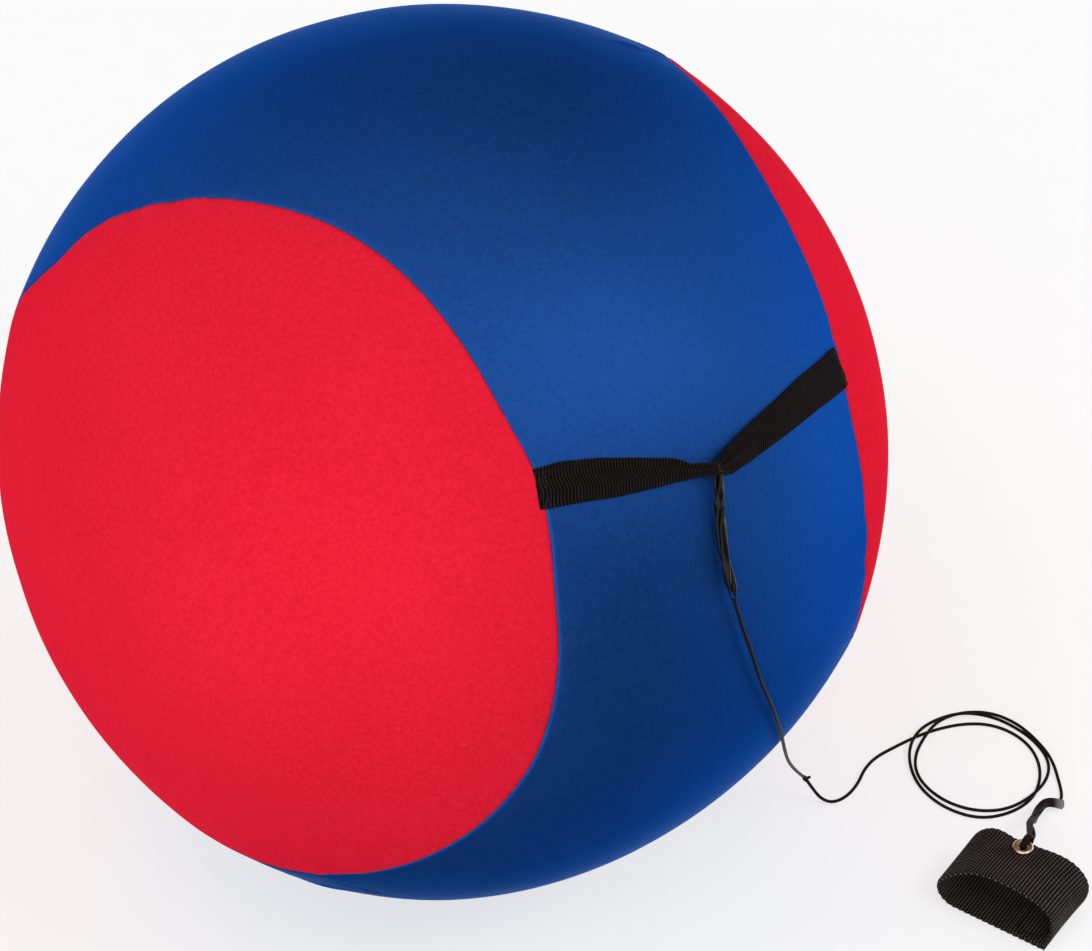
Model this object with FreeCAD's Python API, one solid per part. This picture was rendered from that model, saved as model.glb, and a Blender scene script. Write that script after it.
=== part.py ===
import FreeCAD, Part
import os
from math import acos, cos, degrees, pi, radians, sin, sqrt, tan
from FreeCAD import Placement, Rotation, Vector

# Tetherball set: a large fabric-covered inflatable ball on an elastic tether with a hand strap.
# Millimetres, +Z up. The origin is the middle of the flat patch that the ball rests on.

# Ball
BALL_RADIUS = 250.0
PATCH_DEPTH = 1.5               # the ball's own weight presses its underside flat by this much
COVER_THICK = 1.2
BLADDER_RADIUS = 246.5
BLADDER_WALL = 0.8
BALL_CENTRE = Vector(0, 0, BALL_RADIUS - PATCH_DEPTH)

# The two cover panels are alike. Each has two round lobes joined by a neck, and they interlock.
# Ball axes: X runs along the ball strap, Y along the blue neck, Z out through the strap's middle.
BALL_TURN = Rotation(37.9, 6.5, 57.4)
BALL_PLACE = Placement(BALL_CENTRE, BALL_TURN)
LOBE_TILT = 71.9                # angle from a neck's middle to the middle of the lobe beside it
LOBE_ANGLE = degrees(acos(sin(radians(LOBE_TILT)) / sqrt(2)))
SEAM_THREAD = 0.7
SEAM_RADIUS = BALL_RADIUS - COVER_THICK - 0.6

# Valve, on the inner side of the bladder under the closure
VALVE_FLANGE = 24.0
VALVE_COLLAR = 12.0
VALVE_STEM = 9.0
VALVE_BORE = 6.0
VALVE_DEPTH = 14.0

# Closure: a coil zip in the middle of the red neck, across the ball from the strap
ZIP_HALF_ANGLE = 20.0           # half the length of the teeth, as an angle at the ball's centre
ZIP_SLOT_HALF = 5.2
ZIP_TAPE_HALF = 12.0
ZIP_TAPE_THICK = 0.6
ZIP_TAPE_TOP = BALL_RADIUS - 1.7
ZIP_ROW = (0.6, 3.2)            # one row of teeth, from the middle line outwards
ZIP_TEETH_HIGH = 1.8
ZIP_STOP_LONG = 3.0
SLIDER_LONG = 10.0
SLIDER_WIDE = 8.6
SLIDER_START = ZIP_HALF_ANGLE - 1.6
PULL_PIN_HEIGHT = 3.0           # pin axis above the ball's surface
PULL_PIN = 1.2
PULL_LONG = 28.0
PULL_WIDE = 6.0

# Ball strap: 24 mm knitted elastic, sewn into the seam at both sides of the blue neck
STRAP_WIDE = 24.0
STRAP_THICK = 1.2
STRAP_LEFT = (-24.0, 2.2)       # strap ends and pinch, as angles along and across the neck
STRAP_RIGHT = (24.2, 1.2)
STRAP_PINCH = (-2.5, -2.8)
PINCH_WIDE = 7.0
PINCH_THICK = 4.4
PINCH_LIFT = 2.2
TACK_WIDE = 0.9
TACK_HIGH = 0.5

# Links: folded rubber strip
LINK_WIDE = 5.0
LINK_THICK = 2.4
HITCH_WALL = 1.0
HITCH_LONG = 4.0

# Cord
CORD = 2.0
SPLICE_ACROSS = 4.2
SPLICE_TAIL = 4.0
SPLICE_TAIL_WAY = Vector(0.93, 0.15, 0.33)

# Hand strap: a loop of 40 mm ribbed webbing. Its own axes: u along the loop's flat side,
# v across the webbing, h up. It lies turned on the ground beside the coil.
HAND_CORNER = Vector(286.6, -129.1, 0)
HAND_TURN = Rotation(-36.5, 0, 0)
HAND_PLACE = Placement(HAND_CORNER, HAND_TURN)
WEB_WIDE = 40.0
WEB_THICK = 2.0
WEB_LAP = 24.0
EYELET_U = 29.7
EYELET_V = 32.0
EYELET_HOLE = 8.0
EYELET_BORE = 6.0
EYELET_FLANGE = 12.0
RING_RADIUS = 4.9
RING_THICK = 2.2

# Coil of the tether cord on the ground
COIL_CENTRE = Vector(320.5, -14.0, 0)
COIL_OUTER = 43.5
COIL_INNER = 33.0
COIL_HIGH = 5.0

ORIGIN = Vector(0, 0, 0)
X_AXIS = Vector(1, 0, 0)
Y_AXIS = Vector(0, 1, 0)
Z_AXIS = Vector(0, 0, 1)


def save(node, shape):
    """One STEP file per node."""
    shape.exportStep(os.path.join("parts", node + ".step"))
    solids = len(shape.Solids)
    print(f"{node}: {solids} solid(s), {shape.Volume:.0f} mm3, valid {shape.isValid()}")


def group(solids):
    """Separate solids that share a node."""
    return solids[0] if len(solids) == 1 else Part.makeCompound(solids)


def placed(shape, place):
    """A copy of the shape, moved from its own axes to the set's."""
    moved = shape.copy()
    moved.Placement = place.multiply(moved.Placement)
    return moved


def block(low, high):
    """A box between two corners."""
    size = high - low
    return Part.makeBox(size.x, size.y, size.z, low)


def ball_point(along, across, lift):
    """Point above the ball's surface at two angles, in the set's axes."""
    a, b = radians(along), radians(across)
    out = Vector(sin(a) * cos(b), sin(b), cos(a) * cos(b))
    return BALL_PLACE.multVec(out * (BALL_RADIUS + lift))


def above(level):
    """Everything over a level, as a block big enough for the whole ball."""
    reach = 2 * BALL_RADIUS
    return Part.makeBox(2 * reach, 2 * reach, 2 * reach, Vector(-reach, -reach, level))


# ---------------------------------------------------------------- ball

def pressed_sphere(radius, floor_level):
    """A sphere about the ball's centre, cut flat where it meets the ground."""
    return Part.makeSphere(radius, BALL_CENTRE).common(above(floor_level))


def bladder():
    """Closed rubber ball with a hole for the valve."""
    outer = Part.makeSphere(BLADDER_RADIUS)
    inner = Part.makeSphere(BLADDER_RADIUS - BLADDER_WALL)
    hole_low = Vector(0, 0, -BALL_RADIUS)
    hole = Part.makeCylinder(VALVE_COLLAR / 2 + 0.1, 2 * VALVE_DEPTH, hole_low)
    return placed(outer.cut(inner).cut(hole), BALL_PLACE)


def valve_seat():
    """Flange bonded under the bladder wall, collar in its hole and a bored stem."""
    top = BLADDER_RADIUS - 0.1
    under = BLADDER_RADIUS - BLADDER_WALL - 0.2
    parts = [
        Part.makeCylinder(VALVE_COLLAR / 2, 3.0, Vector(0, 0, -top)),
        Part.makeCylinder(VALVE_FLANGE / 2, 1.2, Vector(0, 0, -under)),
        Part.makeCylinder(VALVE_STEM / 2, VALVE_DEPTH, Vector(0, 0, -top)),
    ]
    seat = parts[0].fuse(parts[1:]).removeSplitter()
    bore = Part.makeCylinder(VALVE_BORE / 2, VALVE_DEPTH + 2, Vector(0, 0, -top - 1))
    recess = Part.makeCylinder(4.7, 1.0, Vector(0, 0, -top - 0.2))
    seat = seat.cut(bore).cut(recess)
    rim = Part.makeSphere(BLADDER_RADIUS - BLADDER_WALL - 0.05)
    neck = Part.makeCylinder(VALVE_COLLAR / 2, 3.0, Vector(0, 0, -top - 0.5))
    return placed(seat.common(rim.fuse(neck)), BALL_PLACE)


def valve_plug():
    """Stopper with a low head that sits in the seat's recess."""
    top = BLADDER_RADIUS - 0.2
    head = Part.makeCylinder(4.4, 0.7, Vector(0, 0, -top))
    stem = Part.makeCylinder(VALVE_BORE / 2 - 0.1, 10.0, Vector(0, 0, -top + 0.3))
    return placed(head.fuse(stem).removeSplitter(), BALL_PLACE)


def lobe_cone(axis):
    """Solid cone from the ball's centre through one round lobe."""
    tall = 1.2 * BALL_RADIUS
    return Part.makeCone(0, tall * tan(radians(LOBE_ANGLE)), tall, ORIGIN, axis)


def lobe_axes():
    """Axes of the two red lobes and of the two blue lobes, in the ball's axes."""
    side = sin(radians(LOBE_TILT))
    out = cos(radians(LOBE_TILT))
    red = [Vector(side, 0, out), Vector(-side, 0, out)]
    blue = [Vector(0, side, -out), Vector(0, -side, -out)]
    return red, blue


def cover_panels():
    """The two interlocking panels, cut from one shell along the lobes' circles."""
    outer = pressed_sphere(BALL_RADIUS, 0)
    inner = pressed_sphere(BALL_RADIUS - COVER_THICK, COVER_THICK)
    shell = outer.cut(inner)
    reach = 1.5 * BALL_RADIUS
    front = placed(block(Vector(-reach, -reach, 0), Vector(reach, reach, reach)), BALL_PLACE)
    back = placed(block(Vector(-reach, -reach, -reach), Vector(reach, reach, 0)), BALL_PLACE)
    red_axes, blue_axes = lobe_axes()
    red_cones = [placed(lobe_cone(axis), BALL_PLACE) for axis in red_axes]
    blue_cones = [placed(lobe_cone(axis), BALL_PLACE) for axis in blue_axes]
    front_shell = shell.common(front)
    back_shell = shell.common(back)
    red = [front_shell.common(cone) for cone in red_cones]
    red.append(back_shell.cut(blue_cones))
    blue = [back_shell.common(cone) for cone in blue_cones]
    blue.append(front_shell.cut(red_cones))
    red_panel = red[0].fuse(red[1:]).removeSplitter().cut(placed(zip_slot(), BALL_PLACE))
    blue_panel = blue[0].fuse(blue[1:]).removeSplitter()
    return red_panel, blue_panel


def seam_arc(axis, towards):
    """Thread along the half of a lobe's circle on one side of the ball's middle plane."""
    out = SEAM_RADIUS * cos(radians(LOBE_ANGLE))
    wide = SEAM_RADIUS * sin(radians(LOBE_ANGLE))
    middle = axis * out
    upward = Vector(0, 0, towards) - axis * axis.dot(Vector(0, 0, towards))
    upward.normalize()
    edge_height = middle.z * towards
    rise = upward.z * towards
    sweep = acos(-edge_height / (wide * rise))
    start_way = Rotation(axis, -degrees(sweep)).multVec(upward)
    start = middle + start_way * wide
    along = axis.cross(start_way)
    disc = Part.Face(Part.Wire([Part.Circle(start, along, SEAM_THREAD / 2).toShape()]))
    return disc.revolve(middle, axis, 2 * degrees(sweep))


def seam_thread():
    """One closed line of sewing thread just inside the cover, under the whole seam."""
    red_axes, blue_axes = lobe_axes()
    arcs = [seam_arc(axis, 1) for axis in red_axes] + [seam_arc(axis, -1) for axis in blue_axes]
    return placed(arcs[0].fuse(arcs[1:]).removeSplitter(), BALL_PLACE)


# ---------------------------------------------------------------- closure

def zip_band(y_low, y_high, r_low, r_high, from_angle, to_angle):
    """Bar that follows the ball under the red neck, between two angles along it."""
    corners = [
        Vector(0, y_low, -r_low),
        Vector(0, y_high, -r_low),
        Vector(0, y_high, -r_high),
        Vector(0, y_low, -r_high),
    ]
    face = Part.Face(Part.makePolygon(corners + corners[:1]))
    face.rotate(ORIGIN, Y_AXIS, from_angle)
    return face.revolve(ORIGIN, Y_AXIS, to_angle - from_angle)


def zip_slot():
    """Opening of the red panel over the teeth."""
    ends = ZIP_HALF_ANGLE + 1.5
    return zip_band(-ZIP_SLOT_HALF, ZIP_SLOT_HALF, BALL_RADIUS - 3, BALL_RADIUS + 3, -ends, ends)


def both_sides(make):
    """The same bar at each side of the zip's middle line."""
    solids = []
    for side in (1, -1):
        bar = make()
        if side < 0:
            bar = bar.mirror(ORIGIN, Y_AXIS)
        solids.append(placed(bar, BALL_PLACE))
    return group(solids)


def zip_tape():
    """Two woven tapes sewn under the slot's edges."""
    low = ZIP_TAPE_TOP - ZIP_TAPE_THICK
    ends = ZIP_HALF_ANGLE + 3.0
    return both_sides(lambda: zip_band(1.1, ZIP_TAPE_HALF, low, ZIP_TAPE_TOP, -ends, ends))


def zip_teeth():
    """Two rows of coil teeth on the tapes' inner edges."""
    top = ZIP_TAPE_TOP + ZIP_TEETH_HIGH
    ends = ZIP_HALF_ANGLE
    return both_sides(lambda: zip_band(ZIP_ROW[0], ZIP_ROW[1], ZIP_TAPE_TOP, top, -ends, ends))


def zip_stops():
    """A stop at each end of the teeth."""
    top = ZIP_TAPE_TOP + ZIP_TEETH_HIGH + 0.2
    long = degrees(ZIP_STOP_LONG / BALL_RADIUS)
    solids = []
    for start in (ZIP_HALF_ANGLE + 0.05, -ZIP_HALF_ANGLE - 0.05 - long):
        stop = zip_band(-ZIP_ROW[1], ZIP_ROW[1], ZIP_TAPE_TOP, top, start, start + long)
        solids.append(placed(stop, BALL_PLACE))
    return group(solids)


def slider_place():
    """Slider axes: X along the zip, Y across it, Z out of the ball from its surface."""
    turn = Rotation(Y_AXIS, 180 - SLIDER_START)
    out = turn.multVec(Z_AXIS * BALL_RADIUS)
    return BALL_PLACE.multiply(Placement(out, turn))


def zip_slider():
    """Upper and lower plates joined by a thin post, side flanges and the pull's bail."""
    half = SLIDER_LONG / 2
    wide = SLIDER_WIDE / 2
    parts = [
        block(Vector(-half, -wide, 0.4), Vector(half, wide, 1.4)),
        block(Vector(-half, 3.6, -1.1), Vector(half, wide, 0.6)),
        block(Vector(-half, -wide, -1.1), Vector(half, -3.6, 0.6)),
        block(Vector(1, -0.3, -2.8), Vector(4, 0.3, 0.6)),
        block(Vector(-half + 0.5, -3.6, -3.1), Vector(half - 0.5, 3.6, -2.6)),
        block(Vector(-3.2, -0.9, 1.2), Vector(3.2, 0.9, 4.9)),
    ]
    slider = parts[0].fuse(parts[1:]).removeSplitter()
    window = block(Vector(-1.9, -2, 1.8), Vector(1.9, 2, 3.9))
    return placed(slider.cut(window).removeSplitter(), slider_place())


def zip_pull():
    """Tab with two arms and a cross pin through the bail's window."""
    height = PULL_PIN_HEIGHT
    half = PULL_WIDE / 2
    start = 5.0
    pin_low = Vector(0, -2.2, height)
    parts = [
        Part.makeCylinder(PULL_PIN / 2, 4.4, pin_low, Y_AXIS),
        block(Vector(-start - 1, 1.2, height - 0.6), Vector(0.6, 2.4, height + 0.6)),
        block(Vector(-start - 1, -2.4, height - 0.6), Vector(0.6, -1.2, height + 0.6)),
        block(Vector(-PULL_LONG, -half, height - 0.6), Vector(-start, half, height + 0.6)),
    ]
    return placed(parts[0].fuse(parts[1:]).removeSplitter(), slider_place())


# ---------------------------------------------------------------- ball strap and its link

def strip_section(point, along, out, wide, thick):
    """Rectangle across a strip: wide lies on the ball, thick stands out from it."""
    across = out.cross(along)
    across.normalize()
    out_way = along.cross(across)
    out_way.normalize()
    low = point - out_way * (thick / 2)
    high = point + out_way * (thick / 2)
    side = across * (wide / 2)
    corners = [low - side, low + side, high + side, high - side]
    return Part.makePolygon(corners + corners[:1])


def strip_loft(points, widths, thicks):
    """Strip through the points, with its flat side to the ball."""
    wires = []
    last = len(points) - 1
    for i, point in enumerate(points):
        along = points[min(i + 1, last)] - points[max(i - 1, 0)]
        along.normalize()
        out = point - BALL_CENTRE
        out.normalize()
        wires.append(strip_section(point, along, out, widths[i], thicks[i]))
    return Part.makeLoft(wires, True, True)


def ease(value):
    """Smooth step from 0 to 1."""
    value = max(0.0, min(1.0, value))
    return value * value * (3 - 2 * value)


def between(start, end, share):
    """Point between two pairs of angles."""
    return (start[0] + (end[0] - start[0]) * share, start[1] + (end[1] - start[1]) * share)


def ball_strap():
    """Flat at its sewn ends and gathered to a bunch at the pinch, where it stands off the ball."""
    steps = 8
    points = []
    widths = []
    thicks = []
    legs = [(STRAP_LEFT, i / steps) for i in range(steps + 1)]
    legs += [(STRAP_RIGHT, 1 - i / steps) for i in range(1, steps + 1)]
    for end, share in legs:
        along, across = between(end, STRAP_PINCH, share)
        gather = ease((share - 0.15) / 0.75)
        rise = ease((share - 0.6) / 0.35)
        thick = STRAP_THICK + (PINCH_THICK - STRAP_THICK) * rise
        lift = 0.3 + (PINCH_LIFT - 0.3) * rise + thick / 2
        points.append(ball_point(along, across, lift))
        widths.append(STRAP_WIDE + (PINCH_WIDE - STRAP_WIDE) * gather)
        thicks.append(thick)
    return strip_loft(points, widths, thicks)


def strap_tacks():
    """Rows of stitching across both ends of the strap."""
    solids = []
    for end in (STRAP_LEFT, STRAP_RIGHT):
        for share in (0.04, 0.075):
            along, across = between(end, STRAP_PINCH, share)
            lift = 0.3 + STRAP_THICK + TACK_HIGH / 2
            middle = ball_point(along, across, lift)
            beside = ball_point(*between(end, STRAP_PINCH, share + 0.02), lift)
            way = (beside - middle).normalize()
            ends = [middle - way * (TACK_WIDE / 2), middle + way * (TACK_WIDE / 2)]
            solids.append(strip_loft(ends, [STRAP_WIDE - 3] * 2, [TACK_HIGH] * 2))
    return group(solids)


def hitch_ring(clear_wide, clear_thick):
    """Band round the strap's pinch, as a frame whose axis runs along the strap."""
    middle = ball_point(*STRAP_PINCH, PINCH_LIFT + PINCH_THICK / 2)
    beside = ball_point(STRAP_PINCH[0] + 1, STRAP_PINCH[1], PINCH_LIFT + PINCH_THICK / 2)
    along = (beside - middle).normalize()
    out = (middle - BALL_CENTRE).normalize()
    ends = [middle - along * (HITCH_LONG / 2), middle + along * (HITCH_LONG / 2)]
    hole_ends = [middle - along * HITCH_LONG, middle + along * HITCH_LONG]
    wires = []
    for point in ends:
        size = (clear_wide + 2 * HITCH_WALL, clear_thick + 2 * HITCH_WALL)
        wires.append(strip_section(point, along, out, *size))
    band = Part.makeLoft(wires, True, True)
    holes = [strip_section(point, along, out, clear_wide, clear_thick) for point in hole_ends]
    return band.cut(Part.makeLoft(holes, True, True))


BALL_LINK_ROUTE = [
    (-2.9, -3.9, 4.4),
    (-3.4, -7.0, 3.2),
    (-3.8, -11.0, 3.0),
    (-3.7, -15.0, 3.4),
    (-3.2, -18.8, 4.2),
]


def ball_link():
    """Folded rubber strip hitched round the pinch and hanging down the ball."""
    points = [ball_point(*stop) for stop in BALL_LINK_ROUTE]
    widths = [LINK_WIDE, LINK_WIDE, LINK_WIDE, LINK_WIDE - 0.4, LINK_WIDE - 1.4]
    thicks = [LINK_THICK] * len(points)
    strip = strip_loft(points, widths, thicks)
    ring = hitch_ring(PINCH_WIDE + 1.2, PINCH_THICK + 0.5)
    return ring.fuse(strip).removeSplitter()


# ---------------------------------------------------------------- cord

LEAD_ROUTE = [
    ball_point(-3.2, -18.8, 4.2),
    Vector(150.2, -199.0, 294.0),
    Vector(156.8, -198.3, 272.0),
    Vector(162.4, -195.6, 249.0),
    Vector(171.4, -184.6, 218.0),
    Vector(178.8, -166.0, 182.0),
    Vector(184.6, -140.5, 143.5),
    Vector(190.6, -112.0, 106.0),
    Vector(197.6, -82.5, 70.5),
    Vector(204.8, -58.5, 41.0),
    Vector(210.4, -43.2, 22.0),
]

TETHER_ROUTE = [
    Vector(212.2, -42.6, 18.6),
    Vector(216.8, -43.4, 10.6),
    Vector(221.6, -45.0, 4.6),
    Vector(228.4, -45.4, 1.6),
    Vector(237.2, -40.6, 1.3),
    Vector(245.2, -30.0, 1.3),
    Vector(250.4, -17.6, 1.3),
    Vector(258.0, -8.0, 1.3),
    Vector(269.4, -0.2, 1.4),
    Vector(284.2, 9.6, 1.6),
]

TAIL_ROUTE = [
    Vector(363.0, -22.0, 1.6),
    Vector(364.6, -29.0, 1.5),
    Vector(365.2, -38.0, 1.5),
    Vector(364.4, -46.0, 1.9),
    Vector(362.8, -52.0, 2.8),
]


def cord_tube(name, points):
    """Round cord along straight runs joined by tangent arcs, as large as the runs allow."""
    edges = []
    start = points[0]
    length = 0.0
    radii = []
    for before, corner, after in zip(points, points[1:], points[2:]):
        back = before - corner
        ahead = after - corner
        reach = 0.45 * min(back.Length, ahead.Length)
        turn = pi - back.getAngle(ahead)
        radius = reach / tan(turn / 2)
        radii.append(radius)
        back.normalize()
        ahead.normalize()
        inward = (back + ahead).normalize()
        enter = corner + back * reach
        leave = corner + ahead * reach
        middle = corner + inward * (radius / cos(turn / 2) - radius)
        edges.append(Part.LineSegment(start, enter).toShape())
        edges.append(Part.Arc(enter, middle, leave).toShape())
        length += (enter - start).Length + radius * turn
        start = leave
    edges.append(Part.LineSegment(start, points[-1]).toShape())
    length += (points[-1] - start).Length
    path = Part.Wire(edges)
    circle = Part.Circle(points[0], points[1] - points[0], CORD / 2)
    tube = path.makePipeShell([Part.Wire([circle.toShape()])], True, False)
    share = tube.Volume / (length * pi * (CORD / 2) ** 2)
    shown = ", ".join(f"{radius:.0f}" for radius in radii)
    print(f"{name}: length {length:.1f} mm, volume ratio {share:.4f}, radii {shown}")
    return tube


def splice_knot():
    """Small overhand knot with the cut end of the lead cord standing out of it."""
    start = LEAD_ROUTE[-1]
    way = (TETHER_ROUTE[0] - start).normalize()
    low = start - way * 0.4
    knot = Part.makeCylinder(SPLICE_ACROSS / 2, (TETHER_ROUTE[0] - start).Length + 0.8, low, way)
    middle = (start + TETHER_ROUTE[0]) * 0.5
    tail = Part.makeCylinder(CORD / 2, SPLICE_ACROSS / 2 + SPLICE_TAIL, middle, SPLICE_TAIL_WAY)
    return knot.fuse(tail).removeSplitter()


def tether_coil():
    """Outer shape of the loose coil that lies on the ground."""
    outer = Part.makeCylinder(COIL_OUTER, COIL_HIGH, COIL_CENTRE)
    return outer.cut(Part.makeCylinder(COIL_INNER, COIL_HIGH, COIL_CENTRE))


# ---------------------------------------------------------------- hand strap

# Outer face of the loop in its side view (u, 0, h), from the lap up and round to the flat side
LOOP_OUTLINE = [
    Vector(64.4, 0, 2.2),
    Vector(66.8, 0, 13.0),
    Vector(65.0, 0, 25.0),
    Vector(57.0, 0, 33.6),
    Vector(43.6, 0, 38.0),
    Vector(29.7, 0, 38.6),
    Vector(14.4, 0, 36.2),
    Vector(2.0, 0, 28.8),
    Vector(-5.4, 0, 18.6),
    Vector(-5.2, 0, 7.0),
    Vector(1.4, 0, 0.9),
    Vector(9.0, 0, 0),
]
LOOP_RIGHT = 64.6               # end of the flat side under the lap
WEB_TOP = 38.6                  # outer face of the webbing at the eyelet
RING_V = EYELET_V + RING_RADIUS
RING_H = WEB_TOP - WEB_THICK / 2


def smooth_curve(points, start_way, end_way):
    """Smooth edge through the points with a set direction at each end."""
    curve = Part.BSplineCurve()
    curve.interpolate(Points=points, InitialTangent=start_way, FinalTangent=end_way)
    return curve.toShape()


def webbing_side():
    """Side view of the loop's curved part: the outline and the same line set in by the webbing."""
    last = len(LOOP_OUTLINE) - 1
    inner = []
    for i, point in enumerate(LOOP_OUTLINE):
        along = LOOP_OUTLINE[min(i + 1, last)] - LOOP_OUTLINE[max(i - 1, 0)]
        if i == 0:
            along = Z_AXIS
        if i == last:
            along = X_AXIS
        inner.append(point + along.cross(Y_AXIS).normalize() * WEB_THICK)
    edges = [
        smooth_curve(LOOP_OUTLINE, Z_AXIS, X_AXIS),
        Part.LineSegment(LOOP_OUTLINE[-1], inner[-1]).toShape(),
        smooth_curve(inner, Z_AXIS, X_AXIS),
        Part.LineSegment(inner[0], LOOP_OUTLINE[0]).toShape(),
    ]
    return Part.Face(Part.Wire(Part.sortEdges(edges)[0]))


def hand_strap():
    """Webbing loop, its two ends lapped and sewn at the flat side, with the eyelet's hole."""
    curved = webbing_side().extrude(Y_AXIS * WEB_WIDE)
    flat_low = Vector(LOOP_OUTLINE[-1].x, 0, 0)
    flat = block(flat_low, Vector(LOOP_RIGHT, WEB_WIDE, WEB_THICK))
    lap_low = Vector(LOOP_RIGHT - WEB_LAP, 0, WEB_THICK)
    lap = block(lap_low, Vector(LOOP_OUTLINE[0].x, WEB_WIDE, 2 * WEB_THICK))
    hole = Part.makeCylinder(EYELET_HOLE / 2, 16, Vector(EYELET_U, EYELET_V, WEB_TOP - 8))
    webbing = curved.fuse([flat, lap]).removeSplitter().cut(hole)
    return placed(webbing, HAND_PLACE)


def strap_stitching():
    """Two rows of stitching across the lap and a row along each side of it."""
    low = 2 * WEB_THICK
    left = LOOP_RIGHT - WEB_LAP + 3
    right = LOOP_RIGHT - 5
    front = 3.5
    back = WEB_WIDE - 3.5
    wide = 0.9
    rows = [
        block(Vector(left, front, low), Vector(left + wide, back, low + 0.5)),
        block(Vector(right - wide, front, low), Vector(right, back, low + 0.5)),
        block(Vector(left + 1.4, front, low), Vector(right - 1.4, front + wide, low + 0.5)),
        block(Vector(left + 1.4, back - wide, low), Vector(right - 1.4, back, low + 0.5)),
    ]
    return group([placed(row, HAND_PLACE) for row in rows])


def turned_ring(profile, u, v):
    """Solid of revolution about the eyelet's own upright axis."""
    corners = [Vector(u + radius, v, height) for radius, height in profile]
    face = Part.Face(Part.makePolygon(corners + corners[:1]))
    return placed(face.revolve(Vector(u, v, 0), Z_AXIS, 360), HAND_PLACE)


def eyelet():
    """Brass barrel with a domed flange over the webbing and a rolled lip under the washer."""
    bore = EYELET_BORE / 2
    barrel = bore + 0.7
    flange = EYELET_FLANGE / 2
    top = WEB_TOP + 0.15
    lip = WEB_TOP - WEB_THICK - 1.15
    profile = [
        (bore, lip - 0.4),
        (bore + 1.7, lip - 0.4),
        (bore + 1.9, lip),
        (barrel, lip),
        (barrel, top),
        (flange, top),
        (flange - 0.4, top + 0.7),
        (flange - 1.4, top + 1.2),
        (bore + 0.8, top + 1.2),
        (bore, top + 0.6),
    ]
    return turned_ring(profile, EYELET_U, EYELET_V)


def eyelet_washer():
    """Flat brass washer under the webbing, inside the rolled lip."""
    top = WEB_TOP - WEB_THICK - 0.5
    bore = EYELET_BORE / 2 + 0.9
    rim = EYELET_FLANGE / 2 - 0.3
    profile = [(bore, top - 0.5), (rim, top - 0.5), (rim, top), (bore, top)]
    return turned_ring(profile, EYELET_U, EYELET_V)


STRAP_LINK_ROUTE = [
    Vector(364.2, -52.0, 3.0),
    Vector(356.6, -54.6, 4.2),
    Vector(350.8, -60.6, 8.0),
    Vector(347.2, -71.0, 14.5),
    Vector(343.6, -84.0, 20.6),
    Vector(340.2, -97.0, 27.0),
]


def strap_link():
    """Folded rubber strip from the cord's end up to the ring through the eyelet."""
    ring_middle = HAND_PLACE.multVec(Vector(EYELET_U, RING_V, RING_H))
    ring_axis = HAND_TURN.multVec(X_AXIS)
    ring = Part.makeTorus(RING_RADIUS, RING_THICK / 2, ring_middle, ring_axis)
    join = HAND_PLACE.multVec(Vector(EYELET_U - 0.6, RING_V + RING_RADIUS + 0.3, RING_H - 1.2))
    points = STRAP_LINK_ROUTE + [join]
    wires = []
    last = len(points) - 1
    for i, point in enumerate(points):
        along = points[min(i + 1, last)] - points[max(i - 1, 0)]
        along.normalize()
        wide = LINK_WIDE if i < last else 2.4
        thick = LINK_THICK if i < last else 1.8
        wires.append(strip_section(point, along, Z_AXIS, wide, thick))
    strip = Part.makeLoft(wires, True, True)
    return strip.fuse(ring).removeSplitter()


def main():
    os.makedirs("parts", exist_ok=True)
    red_panel, blue_panel = cover_panels()
    save("bladder", bladder())
    save("valve_seat", valve_seat())
    save("valve_plug", valve_plug())
    save("red_panel", red_panel)
    save("blue_panel", blue_panel)
    save("seam_thread", seam_thread())
    save("zip_tape", zip_tape())
    save("zip_teeth", zip_teeth())
    save("zip_stops", zip_stops())
    save("zip_slider", zip_slider())
    save("zip_pull", zip_pull())
    save("ball_strap", ball_strap())
    save("strap_tacks", strap_tacks())
    save("ball_link", ball_link())
    save("lead_cord", cord_tube("lead_cord", LEAD_ROUTE))
    save("splice_knot", splice_knot())
    save("tether_cord", cord_tube("tether_cord", TETHER_ROUTE))
    save("tether_coil", tether_coil())
    save("tether_tail", cord_tube("tether_tail", TAIL_ROUTE))
    save("strap_link", strap_link())
    save("hand_strap", hand_strap())
    save("strap_stitching", strap_stitching())
    save("eyelet", eyelet())
    save("eyelet_washer", eyelet_washer())


main()
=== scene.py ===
import math

import bmesh
import bpy
import numpy as np
from mathutils import Matrix, Vector, noise
from mathutils.kdtree import KDTree


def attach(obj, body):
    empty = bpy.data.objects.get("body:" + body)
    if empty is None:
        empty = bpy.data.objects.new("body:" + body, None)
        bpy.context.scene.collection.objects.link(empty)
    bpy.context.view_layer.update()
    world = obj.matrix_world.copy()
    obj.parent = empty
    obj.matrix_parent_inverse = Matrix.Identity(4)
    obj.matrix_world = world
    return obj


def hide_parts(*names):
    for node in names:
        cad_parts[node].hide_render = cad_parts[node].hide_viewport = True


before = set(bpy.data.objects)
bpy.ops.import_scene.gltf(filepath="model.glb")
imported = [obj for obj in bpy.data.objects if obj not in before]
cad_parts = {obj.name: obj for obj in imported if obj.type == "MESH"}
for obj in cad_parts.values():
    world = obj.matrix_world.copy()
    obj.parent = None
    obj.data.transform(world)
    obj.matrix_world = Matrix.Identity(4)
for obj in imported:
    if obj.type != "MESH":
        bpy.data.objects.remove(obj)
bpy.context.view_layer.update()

MM = 0.001
TURN = 2 * math.pi

# ------------------------------------------------------------------ the ball's own axes
BALL_RADIUS = 250 * MM
BALL_CENTRE = np.array((0.0, 0.0, 0.2485))
# the ball's axes, with Z out of the seam's front half, turned into the set's axes
BALL_TURN = np.array(
    Matrix.Rotation(math.radians(37.9), 3, "Z")
    @ Matrix.Rotation(math.radians(6.5), 3, "Y")
    @ Matrix.Rotation(math.radians(57.4), 3, "X")
)
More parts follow.
